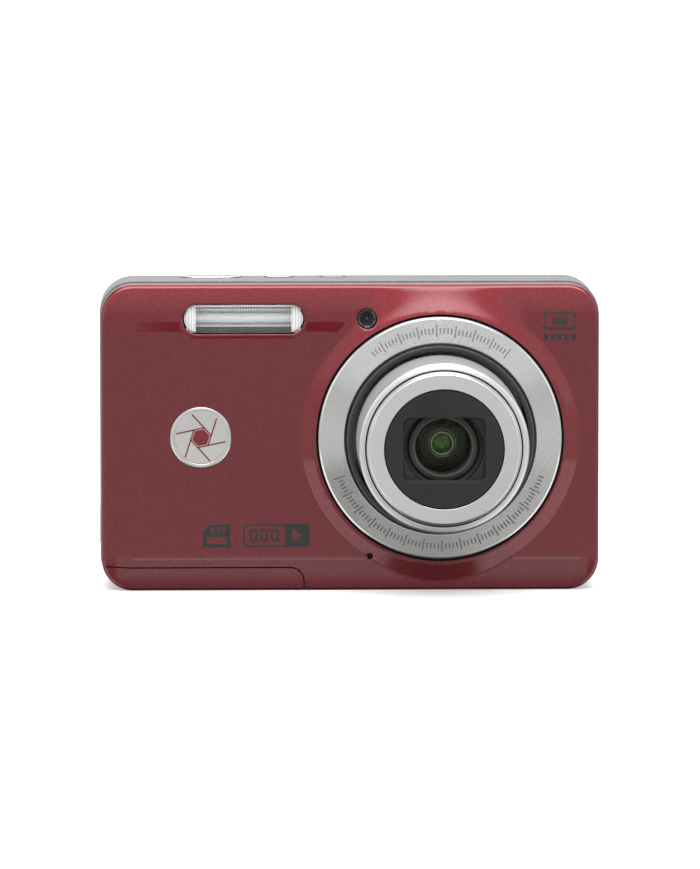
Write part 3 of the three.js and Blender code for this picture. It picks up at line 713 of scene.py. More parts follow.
def triangulate(boundary, holes, grid):
    """Triangles over the boundary less its holes, with points about `grid` apart inside.
    Returns 2-D points, loops of indices and triangles."""
    points = [tuple(p) for p in boundary]
    loops = [list(range(len(points)))]
    for hole in holes:
        start = len(points)
        points += [tuple(p) for p in hole]
        loops.append(list(range(start, len(points))))
    xs, zs = zip(*boundary)
    cloud = []
    for i, z in enumerate(np.arange(min(zs), max(zs), grid * 0.866)):
        line = np.arange(min(xs) + (i % 2) * grid / 2, max(xs), grid)
        cloud += [(x, z) for x in line]
    cloud = np.array(cloud)
    rings = foot_rings()
    gaps = [np.hypot(*(rings - spot).T).min() for spot in cloud]
    cloud = np.vstack([cloud[np.array(gaps) > 0.25], rings])
    free = inside(cloud, boundary) & (distance(cloud, boundary) > grid * 0.5)
    for hole in holes:
        free &= ~inside(cloud, hole) & (distance(cloud, hole) > grid * 0.5)
    points += [tuple(p) for p in cloud[free]]
    edges = []
    for loop in loops:
        edges += [(loop[i], loop[(i + 1) % len(loop)]) for i in range(len(loop))]
    found, _, faces, origins, *_ = delaunay_2d_cdt([Vector(p) for p in points], edges, [], 0, 1e-6)
    triangles = np.array(list(faces))
    spots = np.array([tuple(p) for p in found])
    middles = spots[triangles].mean(axis=1)
    good = inside(middles, boundary)
    for hole in holes:
        good &= ~inside(middles, hole)
    back = {}
    for new, old in enumerate(origins):
        for index in old:
            back[index] = new
    loops = [[back[i] for i in loop] for loop in loops]
    return spots, loops, triangles[good]


def edge_profile(inset_y, slope, y_end):
    """(inset, y) pairs from the front round the edge to the end of the side wall."""
    lip = 0.12
    start = math.atan(max(slope, 0.0))
    reach = EDGE_ROUND / (1 - math.sin(start))
    steps = 8
    chain = []
    for k in range(1, steps + 1):
        angle = start + (math.pi / 2 - start) * k / steps
        inset = EDGE_ROUND - reach * (math.sin(angle) - math.sin(start))
        chain.append((max(inset, 0.0), inset_y + reach * (math.cos(start) - math.cos(angle))))
    chain.append((0.0, y_end - lip))
    chain.append((lip, y_end))
    return chain


def skin(name, columns, cut_path, holes, y_end, material):
    """A shell whose front follows relief(): `columns` carry the rounded edge and side wall,
    `cut_path` closes the outline along the door, `holes` are (outline, rim) pairs."""
    builder = Builder()
    boundary = [rim_of(column) for column in columns] + cut_path
    hole_loops = [outline(-rim) for outline, rim in holes]
    spots, loops, triangles = triangulate(boundary, hole_loops, GRID)
    heights = [relief(x, z) for x, z in spots]
    front = [builder.point(x, y, z) for (x, z), y in zip(spots, heights)]
    back = [builder.point(x, y + SKIN, z) for (x, z), y in zip(spots, heights)]
    for a, b, c in triangles:
        builder.faces.append((front[a], front[b], front[c]))
        builder.faces.append((back[a], back[c], back[b]))

    chains = []
    for i, (x, z, nx, nz) in enumerate(columns):
        at = loops[0][i]
        y0 = heights[at]
        ahead = relief(x - nx * (EDGE_ROUND + 0.3), z - nz * (EDGE_ROUND + 0.3))
        profile = edge_profile(y0, (y0 - ahead) / 0.3, y_end)
        profile += [(SKIN, y_end), (SKIN, y0 + SKIN + 0.6)]
        chain = [front[at]]
        chain += [builder.point(x - nx * d, y, z - nz * d) for d, y in profile]
        chain.append(back[at])
        chains.append(chain)
    for a, b in zip(chains, chains[1:]):
        builder.bridge(a, b, closed=False)
    builder.faces.append(tuple(chains[0]))
    builder.faces.append(tuple(reversed(chains[-1])))
    path = loops[0][len(columns) - 1:] + loops[0][:1]
    builder.bridge([front[i] for i in path], [back[i] for i in path], closed=False)

    for (outline, rim), loop in zip(holes, loops[1:]):
        steps = 4
        previous = [front[i] for i in loop]
        for k in range(1, steps + 1):
            angle = math.pi / 2 * k / steps
            ring = []
            for x, z in outline(-rim * (1 - math.sin(angle))):
                ring.append(builder.point(x, relief(x, z) + rim * (1 - math.cos(angle)), z))
            builder.bridge(previous, ring)
            previous = ring
        builder.bridge(previous, [back[i] for i in loop])
    return builder.build(name, material, weighted=False)


def column_at(columns, index, t):
    """The column a share t of the way from one to the next."""
    a = columns[index]
    b = columns[(index + 1) % len(columns)]
    x, z, nx, nz = [p + (q - p) * t for p, q in zip(a, b)]
    size = math.hypot(nx, nz)
    return (x, z, nx / size, nz / size)


def split_columns(columns):
    """The outline's columns split at the door: (those of the door, those of the rest)."""

    def crossing(axis, value, keep_if):
        for i, here in enumerate(columns):
            there = columns[(i + 1) % len(columns)]
            if (here[axis] - value) * (there[axis] - value) <= 0 and keep_if(here):
                return i, (value - here[axis]) / (there[axis] - here[axis])
        raise ValueError("the door's edge doesn't cross the outline")

    def left(gap):
        return crossing(1, DOOR_TOP + gap, lambda c: c[0] < -HALF_FRONT + 4 and c[1] < 20)

    def right(gap):
        return crossing(0, DOOR_RIGHT + gap, lambda c: c[1] < 0.5)

    def between(first, last):
        count = len(columns)
        steps = (last[0] - first[0]) % count
        whole = [columns[(first[0] + 1 + k) % count] for k in range(steps)]
        return [column_at(columns, *first), *whole, column_at(columns, *last)]

    return between(left(0.0), right(0.0)), between(right(DOOR_GAP), left(DOOR_GAP))


def door_line(offset, left_end):
    """The gap's edge on the front, from the left rim point to the bottom right."""
    top = DOOR_TOP + offset
    centre_x = DOOR_RIGHT - DOOR_CORNER
    centre_z = DOOR_TOP - DOOR_CORNER
    r = DOOR_CORNER + offset
    points = []
    x = left_end[0] + 0.6
    while x < centre_x - 0.3:
        bend = max(0.0, 1 - (x - left_end[0]) / 5.0)
        points.append((x, top + (left_end[1] - top) * bend * bend * (3 - 2 * bend)))
        x += 0.6
    for k in range(11):
        angle = math.radians(90 - 9 * k)
        points.append((centre_x + r * math.cos(angle), centre_z + r * math.sin(angle)))
    return points


def rim_of(column):
    x, z, nx, nz = column
    return (x - nx * EDGE_ROUND, z - nz * EDGE_ROUND)


def flash_outline(inset):
    x, z, w, h, _, _ = slab_of("flash_window")
    room = 0.14
    return rounded_rectangle(x, z, w + 2 * room, h + 2 * room, h / 2 + room, inset, 14)


def round_outline(x, z, r, sides=48):
    return lambda inset: circle(x, z, r - inset, sides)


def make_front():
    columns = outline_columns(HALF_FRONT, TOP_FRONT, FRONT_CORNER)
    door_columns, cover_columns = split_columns(columns)
    lamp_x, lamp_z, lamp_r, _, _ = disc_of("lamp_window")
    mic_x, mic_z, *_ = disc_of("microphone")
    holes = [
        (round_outline(LENS_X, LENS_Z, HOLE_R, 168), 0.12),
        (flash_outline, 0.2),
        (round_outline(lamp_x, lamp_z, lamp_r + 0.1, 40), 0.14),
        (round_outline(mic_x, mic_z, 0.55, 24), 0.1),
    ]
    path = door_line(DOOR_GAP, rim_of(cover_columns[-1]))
    cover = skin("front_cover_shell", cover_columns, path, holes, SEAM_FRONT, RED)
    keep(cover, "root", "red_paint", "front_cover")
    path = door_line(0.0, rim_of(door_columns[0]))[::-1]
    door = skin("battery_door_shell", door_columns, path, [], DOOR_BACK, RED)
    room = Builder()  # for the cover beside the hinge, and for the door's own plate
    left = DOOR_RIGHT - DOOR_CORNER - 1.2
    room.box(left, DOOR_RIGHT + 2, FACE_Y + 1.6, DOOR_BACK + 1, 0.4, DOOR_TOP + 1)
    (px0, px1), (py0, py1), _ = node_box("battery_door_plate")
    room.box(px0 - 0.3, px1, py0 - 0.3, py1 + 0.3, 0.8, 2.0)
    cut_away(door, room)
    keep(door, "battery_door", "red_paint", "battery_door")
    rib = Builder()  # closes the view into the body through the gap beside the door
    rib.box(DOOR_RIGHT + 0.03, DOOR_RIGHT + 1.0, FACE_Y + 1.75, SEAM_FRONT - 0.1, 0.03, 5.0)
    keep(rib.build("door_gap_rib", BLACK), "root", "black_plastic")


# ---------------------------------------------------------------- the rear cover
def shell_block():
    """A closed tray: rounded outer edge towards the back, hollow open at the seam."""
    rim = 2.2
    wall = 1.1
    steps = 8
    chain = [(0.12, SEAM_REAR), (0.0, SEAM_REAR + 0.12)]
    for k in range(steps + 1):
        angle = math.pi / 2 * k / steps
        chain.append((rim * (1 - math.cos(angle)), BACK_Y - rim * (1 - math.sin(angle))))
    inner_chain = [(rim, BACK_Y - wall), (wall, BACK_Y - rim), (wall, SEAM_REAR)]
    columns = outline_columns(HALF_REAR, TOP_REAR, REAR_CORNER, step=4.0, arc=16)
    builder = Builder()
    outer, inner = (
        [builder.loop([(x - nx * d, y, z - nz * d) for x, z, nx, nz in columns]) for d, y in pairs]
        for pairs in (chain, inner_chain)
    )
    for loops in (outer, inner):
        for a, b in zip(loops, loops[1:]):
            builder.bridge(a, b)
    builder.faces.append(tuple(outer[-1]))
    builder.faces.append(tuple(reversed(inner[0])))
    builder.bridge(inner[-1], outer[0])
    return builder


def prism_into(builder, points, low, high, plane):
    """A straight prism of a 2-D loop."""
    place = IN_PLANE[plane]
    a = builder.loop([place(u, v, low) for u, v in points])
    b = builder.loop([place(u, v, high) for u, v in points])
    builder.bridge(a, b)
    builder.faces.append(tuple(reversed(a)))
    builder.faces.append(tuple(b))


KEY_NODES = ("menu_button", "mode_button", "playback_button", "delete_button")
TOP_NODES = ("shutter_button", "power_button", "movie_button")
SCREW_NODES = ("screw_bottom_middle", "screw_bottom_right", "screw_right_lower", "screw_right_upper")


def rear_openings():
    """The holes in the rear cover, as solids to cut away."""
    tool = Builder()
    deep = BACK_Y - 3
    out = BACK_Y + 1
    x, z, w, h, _, _ = slab_of("lcd_window")
    prism_into(tool, rounded_rectangle(x, z, w + 0.2, h + 0.2, 1.3), deep, out, "XZ")
    x, z, r, _, _ = disc_of("direction_pad")
    prism_into(tool, circle(x, z, r + 0.22, 96), deep, out, "XZ")
    x, z, w, h, _, _ = slab_of("zoom_rocker")
    prism_into(tool, rounded_rectangle(x, z, w + 0.6, h + 0.5, h / 2 + 0.24, 0, 14), deep, out, "XZ")
    x, z, r, _, _ = disc_of("status_led")
    prism_into(tool, circle(x, z, r + 0.1, 24), deep, out, "XZ")
    for node in KEY_NODES:
        x, z, r, _, _ = disc_of(node)
        prism_into(tool, circle(x, z, r + 0.2, 48), deep, out, "XZ")
    for node in TOP_NODES:
        x, y, _ = node_middle(node)
        w, d, _ = node_size(node)
        outline = rounded_rectangle(x, y, w + 0.36, d + 0.36, d / 2 + 0.17, 0, 12)
        prism_into(tool, outline, TOP_REAR - 3, TOP_REAR + 1, "XY")
    for node, room, corner in (("port_cover", 0.28, 0.35), ("strap_lug", 0.25, 0.9)):
        _, y, z = node_middle(node)
        _, d, h = node_size(node)
        outline = rounded_rectangle(y, z, d + 2 * room, h + 2 * room, corner)
        prism_into(tool, outline, -HALF_REAR - 1, -HALF_REAR + 3, "YZ")
    x, y, _ = node_middle("tripod_bush")
    prism_into(tool, circle(x, y, node_size("tripod_bush")[0] / 2 + 0.15, 64), -1, 3, "XY")
    for node in SCREW_NODES:
        x, y, z = node_middle(node)
        r = node_size(node)[1] / 2 + 0.2
        if "bottom" in node:
            prism_into(tool, circle(x, y, r, 32), -1, 1.6, "XY")
        else:
            prism_into(tool, circle(y, z, r, 32), HALF_REAR - 1.6, HALF_REAR + 1, "YZ")
    x, y, _ = node_middle("speaker")
    for k in range(-2, 3):
        prism_into(tool, circle(x + k * 1.5, y, 0.4, 16), TOP_REAR - 3, TOP_REAR + 1, "XY")
    return tool


def door_notch():
    """The battery door's outline with its gap, as a solid to cut away."""
    tool = Builder()
    centre_x = DOOR_RIGHT - DOOR_CORNER
    centre_z = DOOR_TOP - DOOR_CORNER
    r = DOOR_CORNER + DOOR_GAP
    far = -HALF_REAR - 2
    points = [(far, -2.0), (DOOR_RIGHT + DOOR_GAP, -2.0)]
    for k in range(11):
        angle = math.radians(9 * k)
        points.append((centre_x + r * math.cos(angle), centre_z + r * math.sin(angle)))
    points.append((far, DOOR_TOP + DOOR_GAP))
    prism_into(tool, points, -4.0, DOOR_BACK + DOOR_GAP, "XZ")
    return tool


def make_rear():
    cover = shell_block().build("rear_cover_shell", SILVER)
    cut_away(cover, rear_openings())
    cut_away(cover, door_notch(), bevel=0.1)
    keep(cover, "root", "silver_paint", "rear_cover")


# ---------------------------------------------------------------- lens
def lens_lathe(name, profile, material, soft=0.12, sides=168):
    """A piece turned about the lens axis, with its corners rounded by `soft` if it isn't 0."""
    if soft:
        profile = soften(profile, soft)
    return lathe(name, profile, material, (LENS_X, LENS_Z), "Y", sides)


MARK_R = 19.75  # middle of the engraved marks


def make_bezel_ring():
    inner = RING_R - 5.05
    y = RING_Y
    profile = [
        (inner, y + 0.12), (inner + 0.35, y), (RING_R - 0.4, y + 1.33),
        (RING_R - 0.1, y + 1.6), (RING_R - 0.1, y + 3.2), (RING_R - 1.4, y + 3.2),
        (RING_R - 1.4, y + 2.5), (inner, y + 1.3),
    ]
    ring = lens_lathe("bezel_ring", profile, SATIN, 0.1, 224)
    keep(ring, "root", "satin_metal", "lens_bezel_ring")

    def face_y(r):
        return y + (r - inner - 0.35) * 1.33 / (RING_R - 0.75 - inner)

    marks = Builder()
    pitch = 2.0
    centre = Vector((LENS_X, 0, LENS_Z))
    for first, last in ((52, 128), (201, 339)):
        for k in range(int((last - first) / pitch) + 1):
            angle = math.radians(first + k * pitch)
            half = 1.05 if k % 5 == 0 else 0.5
            out = Vector((math.cos(angle), 0, math.sin(angle)))
            side = Vector((-math.sin(angle), 0, math.cos(angle)))
            loops = []
            for wide, up in ((0.15, 0.1), (0.15, -0.01), (0.09, -0.04)):
                loop = []
                for r, w in ((-half, -wide), (half, -wide), (half, wide), (-half, wide)):
                    spot = centre + out * (MARK_R + r) + side * w
                    loop.append((spot.x, face_y(MARK_R + r) + up, spot.z))
                loops.append(marks.loop(loop))
            for a, b in zip(loops, loops[1:]):
                marks.bridge(a, b)
            marks.faces.append(tuple(reversed(loops[0])))
            marks.faces.append(tuple(loops[-1]))
    keep(marks.build("bezel_ring_marks", MARK_METAL), "root", "satin_metal")

    _, _, flange, b0, b1 = disc_of("lens_base_barrel")
    f0, f1 = -7.3, -6.4
    bore = RING_R - 4.95
    tube = RING_R - 3.75
    profile = [(bore, b0), (tube, b0), (tube, f0), (flange, f0)]
    profile += [(flange, f1), (tube, f1), (tube, b1), (bore, b1)]
    base = lens_lathe("lens_guide_tube", profile, BLACK, 0.1)
    keep(base, "root", "black_plastic", "lens_base_barrel")


def make_barrels():
    _, _, r, y0, y1 = disc_of("cam_barrel")
    profile = [(r - 0.9, y0 + 0.25), (r - 0.25, y0), (r + 0.15, y0 + 0.1)]
    profile += [(r + 0.15, y1), (r - 0.9, y1)]
    cam = lens_lathe("cam_barrel_tube", profile, DARK_GREY)
    keep(cam, "cam_barrel", "dark_grey_plastic", "cam_barrel")

    _, _, r, y0, y1 = disc_of("outer_barrel")
    bore = r - 1.15
    seat = y0 + 1.1
    profile = [(bore, seat), (r, seat), (r, y1), (bore, y1)]
    # The tube's side gets the darkened satin copy (painted shade); the lip keeps the light satin.
    outer = lens_lathe("outer_barrel_tube", profile, BARREL_SIDE_SHADE, 0.02)
    keep(outer, "outer_barrel", "satin_metal", "outer_barrel")
    profile = [(bore, y0), (bore + 0.15, y0), (r - 0.25, y0 + 0.24)]
    profile += [(r, y0 + 0.55), (r, seat), (bore, seat)]
    keep(lens_lathe("outer_barrel_lip", profile, SATIN_LIGHT), "outer_barrel", "satin_metal")

    _, _, r, y0, y1 = disc_of("inner_barrel")
    bore = disc_of("lens_front_plate")[2] + 0.12
    profile = [(bore, y0), (r - 0.5, y0 + 0.28), (r, y0 + 0.85), (r, y1)]
    profile += [(r - 0.9, y1), (r - 0.9, y0 + 1.25), (bore, y0 + 1.25)]
    inner = lens_lathe("inner_barrel_tube", profile, SATIN_LIGHT)
    keep(inner, "inner_barrel", "satin_metal", "inner_barrel")


# The front plate's window.
WINDOW_W = 14.5
WINDOW_H = 11.2


def make_front_plate():
    """A round black plate whose rectangular window has a bevelled edge."""
    builder = Builder()
    _, _, r, y0, y1 = disc_of("lens_front_plate")

    def window(grow):
        """The window's outline, grown most along its lower edge."""
        side = grow * 0.3
        middle = LENS_Z + (side - grow) / 2
        w = WINDOW_W + 2 * side
        h = WINDOW_H + side + grow
        return filled_sides(rounded_rectangle(LENS_X, middle, w, h, 1.2 + side, 0, 10))

    angles = [math.atan2(z - LENS_Z, x - LENS_X) for x, z in window(0)]

    def disc(radius):
        return [(LENS_X + radius * math.cos(a), LENS_Z + radius * math.sin(a)) for a in angles]

    bevel = 0.5
    rings = 10
    inner = window(bevel + 0.04)
    loops = [(window(0), y0 + 0.5), (window(bevel - 0.04), y0 + 0.06), (inner, y0)]
    pairs = list(zip(inner, disc(r - 0.12)))
    for k in range(1, rings + 1):
        t = k / rings
        loops.append(([(x + (u - x) * t, z + (v - z) * t) for (x, z), (u, v) in pairs], y0))
    loops += [(disc(r), y0 + 0.12), (disc(r), y1), (window(0), y1)]
    made = [builder.loop([(x, y, z) for x, z in points]) for points, y in loops]
    for a, b in zip(made, made[1:] + made[:1]):
        builder.bridge(a, b)
    plate = builder.build("front_plate_disc", PLATE_BLACK)
    keep(plate, "inner_barrel", "black_plastic", "lens_front_plate")


def make_front_lens():
    _, _, outer_r, m0, m1 = disc_of("front_lens_mount")
    _, _, glass_r, g0, g1 = disc_of("front_lens")
    rim = [(7.25, m0), (outer_r, m0), (outer_r, m0 + 1.0), (7.9, m0 + 1.0), (7.25, m0 + 1.6)]
    flange = lens_lathe("front_lens_flange", rim, BLACK, 0.1, 128)
    keep(flange, "inner_barrel", "black_plastic", "front_lens_mount")
    ridges = []
    for k in range(8):
        y = m0 + 2.6 + k * 0.45
        ridges += [(glass_r + 0.2, y), (glass_r - 0.1, y + 0.2)]
    profile = [(7.24, m0 + 0.2), (7.24, m0 + 1.7), (6.9, m1), (glass_r + 0.1, m1)]
    profile += ridges[::-1]
    profile += [(glass_r + 0.1, g0 + 1.6), (glass_r + 1.2, g0 + 1.6), (7.1, g0 + 0.9)]
    cell = lens_lathe("front_lens_cell", profile, DEEP_BLACK, 0, 128)
    keep(cell, "inner_barrel", "black_plastic")
    ring = [
        (glass_r + 0.05, g0 + 0.62), (glass_r + 0.2, g0 + 0.5), (glass_r + 1.0, g0 + 0.95),
        (glass_r + 1.15, g0 + 1.2), (glass_r + 1.15, g0 + 1.55), (glass_r + 0.05, g0 + 1.55),
    ]
    ring = lens_lathe("front_lens_ring", ring, RING_GREY, 0.1, 128)
    keep(ring, "inner_barrel", "dark_grey_plastic")

    rings = 14
    curve = []
    for k in range(rings + 1):
        r = glass_r * k / rings
        curve.append((r, g0 + 1.0 * (r / glass_r) ** 2))
    curve.append((glass_r, g1 - 0.9))
    for k in range(rings + 1):
        r = glass_r * (1 - k / rings) * 0.98
        curve.append((r, g1 - 0.9 - 0.9 * (1 - (r / glass_r) ** 2)))
    glass = lens_lathe("front_lens_glass", curve, GLASS, 0, 96)
    keep(glass, "inner_barrel", "optical_glass", "front_lens")


def make_zoom_group():
    _, _, outer_r, m0, m1 = disc_of("zoom_lens_mount")
    _, _, glass_r, g0, g1 = disc_of("zoom_lens")
    profile = [(glass_r + 0.12, g0 + 1.2), (glass_r + 0.12, m0 + 0.5), (glass_r + 0.62, m0 + 0.4)]
    for k in range(7):
        r = glass_r + 0.7 + k * 0.5
        y = m0 + 0.15 + k * 0.13
        profile += [(r, y), (r + 0.3, y + 0.02), (r + 0.36, y + 0.3)]
    profile += [(outer_r, m0 + 1.5), (outer_r, m0 + 2.2), (6.0, m0 + 2.2)]
    profile += [(6.0, m1), (glass_r + 0.12, m1)]
    mount = lens_lathe("zoom_lens_cell", profile, CELL_BLACK, 0, 96)
    keep(mount, "zoom_group", "black_plastic", "zoom_lens_mount")
    rims = Builder()
    for inner, wide, front in ((glass_r - 0.22, 0.26, -0.28), (glass_r + 0.32, 0.12, -0.02)):
        profile = [
            (inner, m0 + front + 0.14), (inner + wide / 2, m0 + front),
            (inner + wide, m0 + front + 0.14), (inner + wide, m0 + 0.45), (inner, m0 + 0.45),
        ]
        lathe_into(rims, soften(profile, 0.06), (LENS_X, LENS_Z), "Y", 96)
    keep(rims.build("zoom_lens_rims", LENS_RIM), "zoom_group", "black_plastic")
    curve = []
    rings = 8
    for k in range(rings + 1):
        r = glass_r * k / rings
        curve.append((r, g0 + 0.1 + 0.45 * (r / glass_r) ** 2))
    curve.append((glass_r, g1 - 0.4))
    curve.append((0.0, g1))
    glass = lens_lathe("zoom_lens_glass", curve, INNER_GLASS, 0, 64)
    keep(glass, "zoom_group", "optical_glass", "zoom_lens")


def make_blades():
    for node, side in (("barrier_blade_upper", 1), ("barrier_blade_lower", -1)):
        _, (y0, y1), (z0, z1) = node_box(node)
        half = node_size(node)[0] / 2
        chord = min(abs(z0 - LENS_Z), abs(z1 - LENS_Z))
        radius = max(abs(z0 - LENS_Z), abs(z1 - LENS_Z))
        start = math.acos(half / radius)
        loop = [(-half, chord), (half, chord)]
        for k in range(25):
            angle = start + (math.pi - 2 * start) * k / 24
            loop.append((radius * math.cos(angle), radius * math.sin(angle)))
        points = [(LENS_X + x, LENS_Z + side * z) for x, z in loop]
        builder = Builder()
        prism_into(builder, points, y0, y1, "XZ")
        blade = builder.build(node + "_leaf", BLACK)
        body = "barrier_upper" if side > 0 else "barrier_lower"
        keep(blade, body, "black_plastic", node)


# ---------------------------------------------------------------- flash and lamp
def make_flash():
    x, z, w, h, y0, y1 = slab_of("flash_window")

    def outline(inset):
        return rounded_rectangle(x, z, w, h, h / 2, inset, 14)

    builder = Builder()
    pillow_into(builder, outline, y1, y0 + 0.05, 0.3)
    pitch = 0.36
    count = int((w - 1.6) / pitch)
    for k in range(count):
        cx = x - (count - 1) * pitch / 2 + k * pitch
        over = max(abs(cx - x) - (w - h) / 2, 0.0)
        half = math.sqrt(max((h / 2 - 0.45) ** 2 - over * over, 0.0))
        if half < 0.5:
            continue
        ring = []
        for t in range(5):
            angle = math.pi * t / 4
            ring.append((cx + 0.15 * math.cos(angle), y0 + 0.08 - 0.06 * math.sin(angle)))
        low = builder.loop([(u, v, z - half) for u, v in ring])
        high = builder.loop([(u, v, z + half) for u, v in ring])
        builder.bridge(low, high)
        builder.faces.append(tuple(low))
        builder.faces.append(tuple(reversed(high)))
    keep(builder.build("flash_window_lens", WINDOW), "root", "clear_plastic", "flash_window")

    half = 8.75  # of the bright middle, between the end pieces
    sheet = Builder()
    backing = rounded_rectangle(x, z, w - 0.3, h - 0.3, h / 2 - 0.16, 0.0, 14)
    for side in (-1, 1):
        loop = [(u, v) for u, v in backing if (u - x) * side > half]
        ends = [(x + side * half, z + h / 2 - 0.15), (x + side * half, z - h / 2 + 0.15)]
        loop += ends if side > 0 else ends[::-1]
        prism_into(sheet, loop, y1 + 0.03, y1 + 0.1, "XZ")
    keep(sheet.build("flash_end_backing", FLASH_END), "root", "reflector")
    strips = Builder()
    low = z - h / 2
    strips.box(x - half, x + half, y1 + 0.04, y1 + 0.12, low + 0.12, low + 1.12)
    strips.box(x - half, x + half, y1 + 0.04, y1 + 0.12, low + h - 0.62, low + h - 0.4)
    keep(strips.build("flash_dark_trim", BLACK), "root", "dark_grey_plastic")

    (rx0, rx1), (ry0, ry1), (rz0, rz1) = node_box("flash_reflector")
    bowl = Builder()
    steps = 12
    outer = []
    inner = []
    mid = (rz0 + rz1) / 2
    depth = ry1 - ry0
    for k in range(steps + 1):
        t = -1 + 2 * k / steps
        zz = mid + t * (rz1 - rz0) / 2
        y = ry0 + (depth - 0.8) * (1 - t * t * 0.98)
        inner.append((y, zz))
        outer.append((min(ry1, y + 0.35), zz))
    loop = inner + outer[::-1]
    a = bowl.loop([(rx0 + 0.3, y, zz) for y, zz in loop])
    b = bowl.loop([(rx1 - 0.3, y, zz) for y, zz in loop])
    bowl.bridge(a, b)
    bowl.faces.append(tuple(a))
    bowl.faces.append(tuple(reversed(b)))
    for end in (rx0, rx1 - 0.3):
        bowl.box(end, end + 0.3, ry0, ry1 - 0.2, rz0, rz1)
    keep(bowl.build("flash_reflector_bowl", FLASH_PALE), "root", "reflector", "flash_reflector")
    (tx0, tx1), (ty0, ty1), (tz0, tz1) = node_box("flash_tube")
    r = (ty1 - ty0) / 2
    profile = [(0.0, tx0), (r * 0.6, tx0), (r, tx0 + 0.5), (r, tx1 - 0.5), (r * 0.6, tx1), (0.0, tx1)]
    centre = ((ty0 + ty1) / 2, (tz0 + tz1) / 2)
    tube = lathe("flash_tube_glass", profile, FLASH_TUBE, centre, "X", 32)
    keep(tube, "root", "clear_plastic", "flash_tube")


def make_lamp():
    x, z, r, y0, y1 = disc_of("lamp_window")
    profile = [
        (0.0, y0 + 0.75), (0.32, y0 + 0.62), (0.55, y0 + 0.95), (0.95, y0 + 0.7),
        (1.2, y0 + 0.3), (r - 0.28, y0 + 0.12), (r - 0.1, y0), (r, y0 + 0.1), (r, y1),
        (0.0, y1),
    ]
    lamp = lathe("lamp_lens", profile, LAMP, (x, z), "Y", 48)
    keep(lamp, "root", "dark_grey_plastic", "lamp_window")


# ---------------------------------------------------------------- buttons and keys
def make_top_buttons():
    for node in TOP_NODES:
        x, y, _ = node_middle(node)
        w, d, _ = node_size(node)
        z1 = node_box(node)[2][1]

        def outline(inset):
            return rounded_rectangle(x, y, w, d, d / 2, inset, 12)

        piece = pillow(node + "_cap", outline, z1 - 1.6, z1 - 0.06, 0.3, BRIGHT, 0.06, "XY")
        keep(piece, node, "bright_trim", node)
        # A black ring, just proud of the top, round each button: painted shade for the shadowed gap
        # under the button's edge.
        high = TOP_REAR + min(0.1, (z1 - TOP_REAR) * 0.4)
        wide = lambda inset: outline(inset - 0.05)
        shade_collar = pillow(node + "_collar", wide, TOP_REAR - 0.8, high, 0.03, BLACK, 0.0, "XY")
        keep(shade_collar, node, "black_plastic")


def make_rear_keys():
    for node in KEY_NODES:
        x, z, r, _, y1 = disc_of(node)
        piece = pillow(node + "_cap", round_outline(x, z, r), y1 - 1.6, y1 - 0.08, 0.25, SILVER, 0.08)
        keep(piece, node, "silver_paint", node)
    x, z, r, _, y1 = disc_of("ok_button")
    piece = pillow("ok_button_cap", round_outline(x, z, r), y1 - 1.5, y1 - 0.1, 0.3, SILVER, 0.1)
    keep(piece, "ok_button", "silver_paint", "ok_button")
    x, z, r, _, y1 = disc_of("direction_pad")
    profile = [(r, y1 - 1.1), (r, y1 - 0.35), (r - 0.35, y1 - 0.02), (r - 1.5, y1)]
    profile += [(r - 4.6, y1 - 0.28), (3.75, y1 - 0.2), (3.6, y1 - 0.4), (3.6, y1 - 1.1)]
    pad = lathe("direction_pad_ring", soften(profile, 0.2), SILVER, (x, z), "Y", 120)
    keep(pad, "direction_pad", "silver_paint", "direction_pad")
    x, z, w, h, y0, y1 = slab_of("zoom_rocker")
    outline = lambda inset: rounded_rectangle(x, z, w, h, h / 2, inset, 14)
    rocker = pillow("zoom_rocker_cap", outline, y0, y1 - 0.05, 0.35, SILVER, 0.05)
    keep(rocker, "zoom_rocker", "silver_paint", "zoom_rocker")


def make_screen():
    x, z, w, h, y0, y1 = slab_of("lcd_window")
    outline = lambda inset: rounded_rectangle(x, z, w, h, 1.2, inset, 10)
    keep(pillow("screen_window", outline, y0, y1, 0.12, SCREEN), "root", "screen", "lcd_window")


# ---------------------------------------------------------------- badge and prints
def make_badge():
    """A turned satin disc with a six-bladed aperture inlaid in it."""
    x, z, r, y0, y1 = disc_of("badge_plate")
    profile = [
        (0.0, y0 + 0.06), (r - 0.95, y0 + 0.06), (r - 0.85, y0 + 0.12), (r - 0.7, y0 + 0.12),
        (r - 0.6, y0), (r - 0.18, y0), (r, y0 + 0.16), (r, y1), (0.0, y1),
    ]
    disc = lathe("badge_disc", profile, BADGE_METAL, (x, z), "Y", 96)
    keep(disc, "root", "satin_metal", "badge_plate")
    inlay = Builder()
    reach = r - 1.0
    turn = [math.radians(60 * k + 12) for k in range(6)]
    corners = [Vector((math.cos(t), math.sin(t))) * 1.9 for t in turn]
    for a, b in zip(corners, corners[1:] + corners[:1]):
        along = (b - a).normalized()
        across = Vector((-along.y, along.x)) * 0.13
        middle = (a + b) / 2
        far = math.sqrt(reach ** 2 - middle.length ** 2)
        start = a - along * 0.07
        end = middle + along * far
        loop = [start - across, end - across, end + across, start + across]
        prism_into(inlay, [(x + p.x, z + p.y) for p in loop], y0 + 0.035, y0 + 0.2, "XZ")
    keep(inlay.build("badge_aperture_lines", BADGE_RED), "root", "satin_metal")
    centre = Builder()
    middle = [(x + p.x * 0.86, z + p.y * 0.86) for p in corners]
    prism_into(centre, middle, y0 + 0.04, y0 + 0.2, "XZ")
    keep(centre.build("badge_aperture_centre", BADGE_RED), "root", "satin_metal")


def rectangle(x0, x1, z0, z1, r):
    return rounded_rectangle((x0 + x1) / 2, (z0 + z1) / 2, x1 - x0, z1 - z0, r, 0, 5)


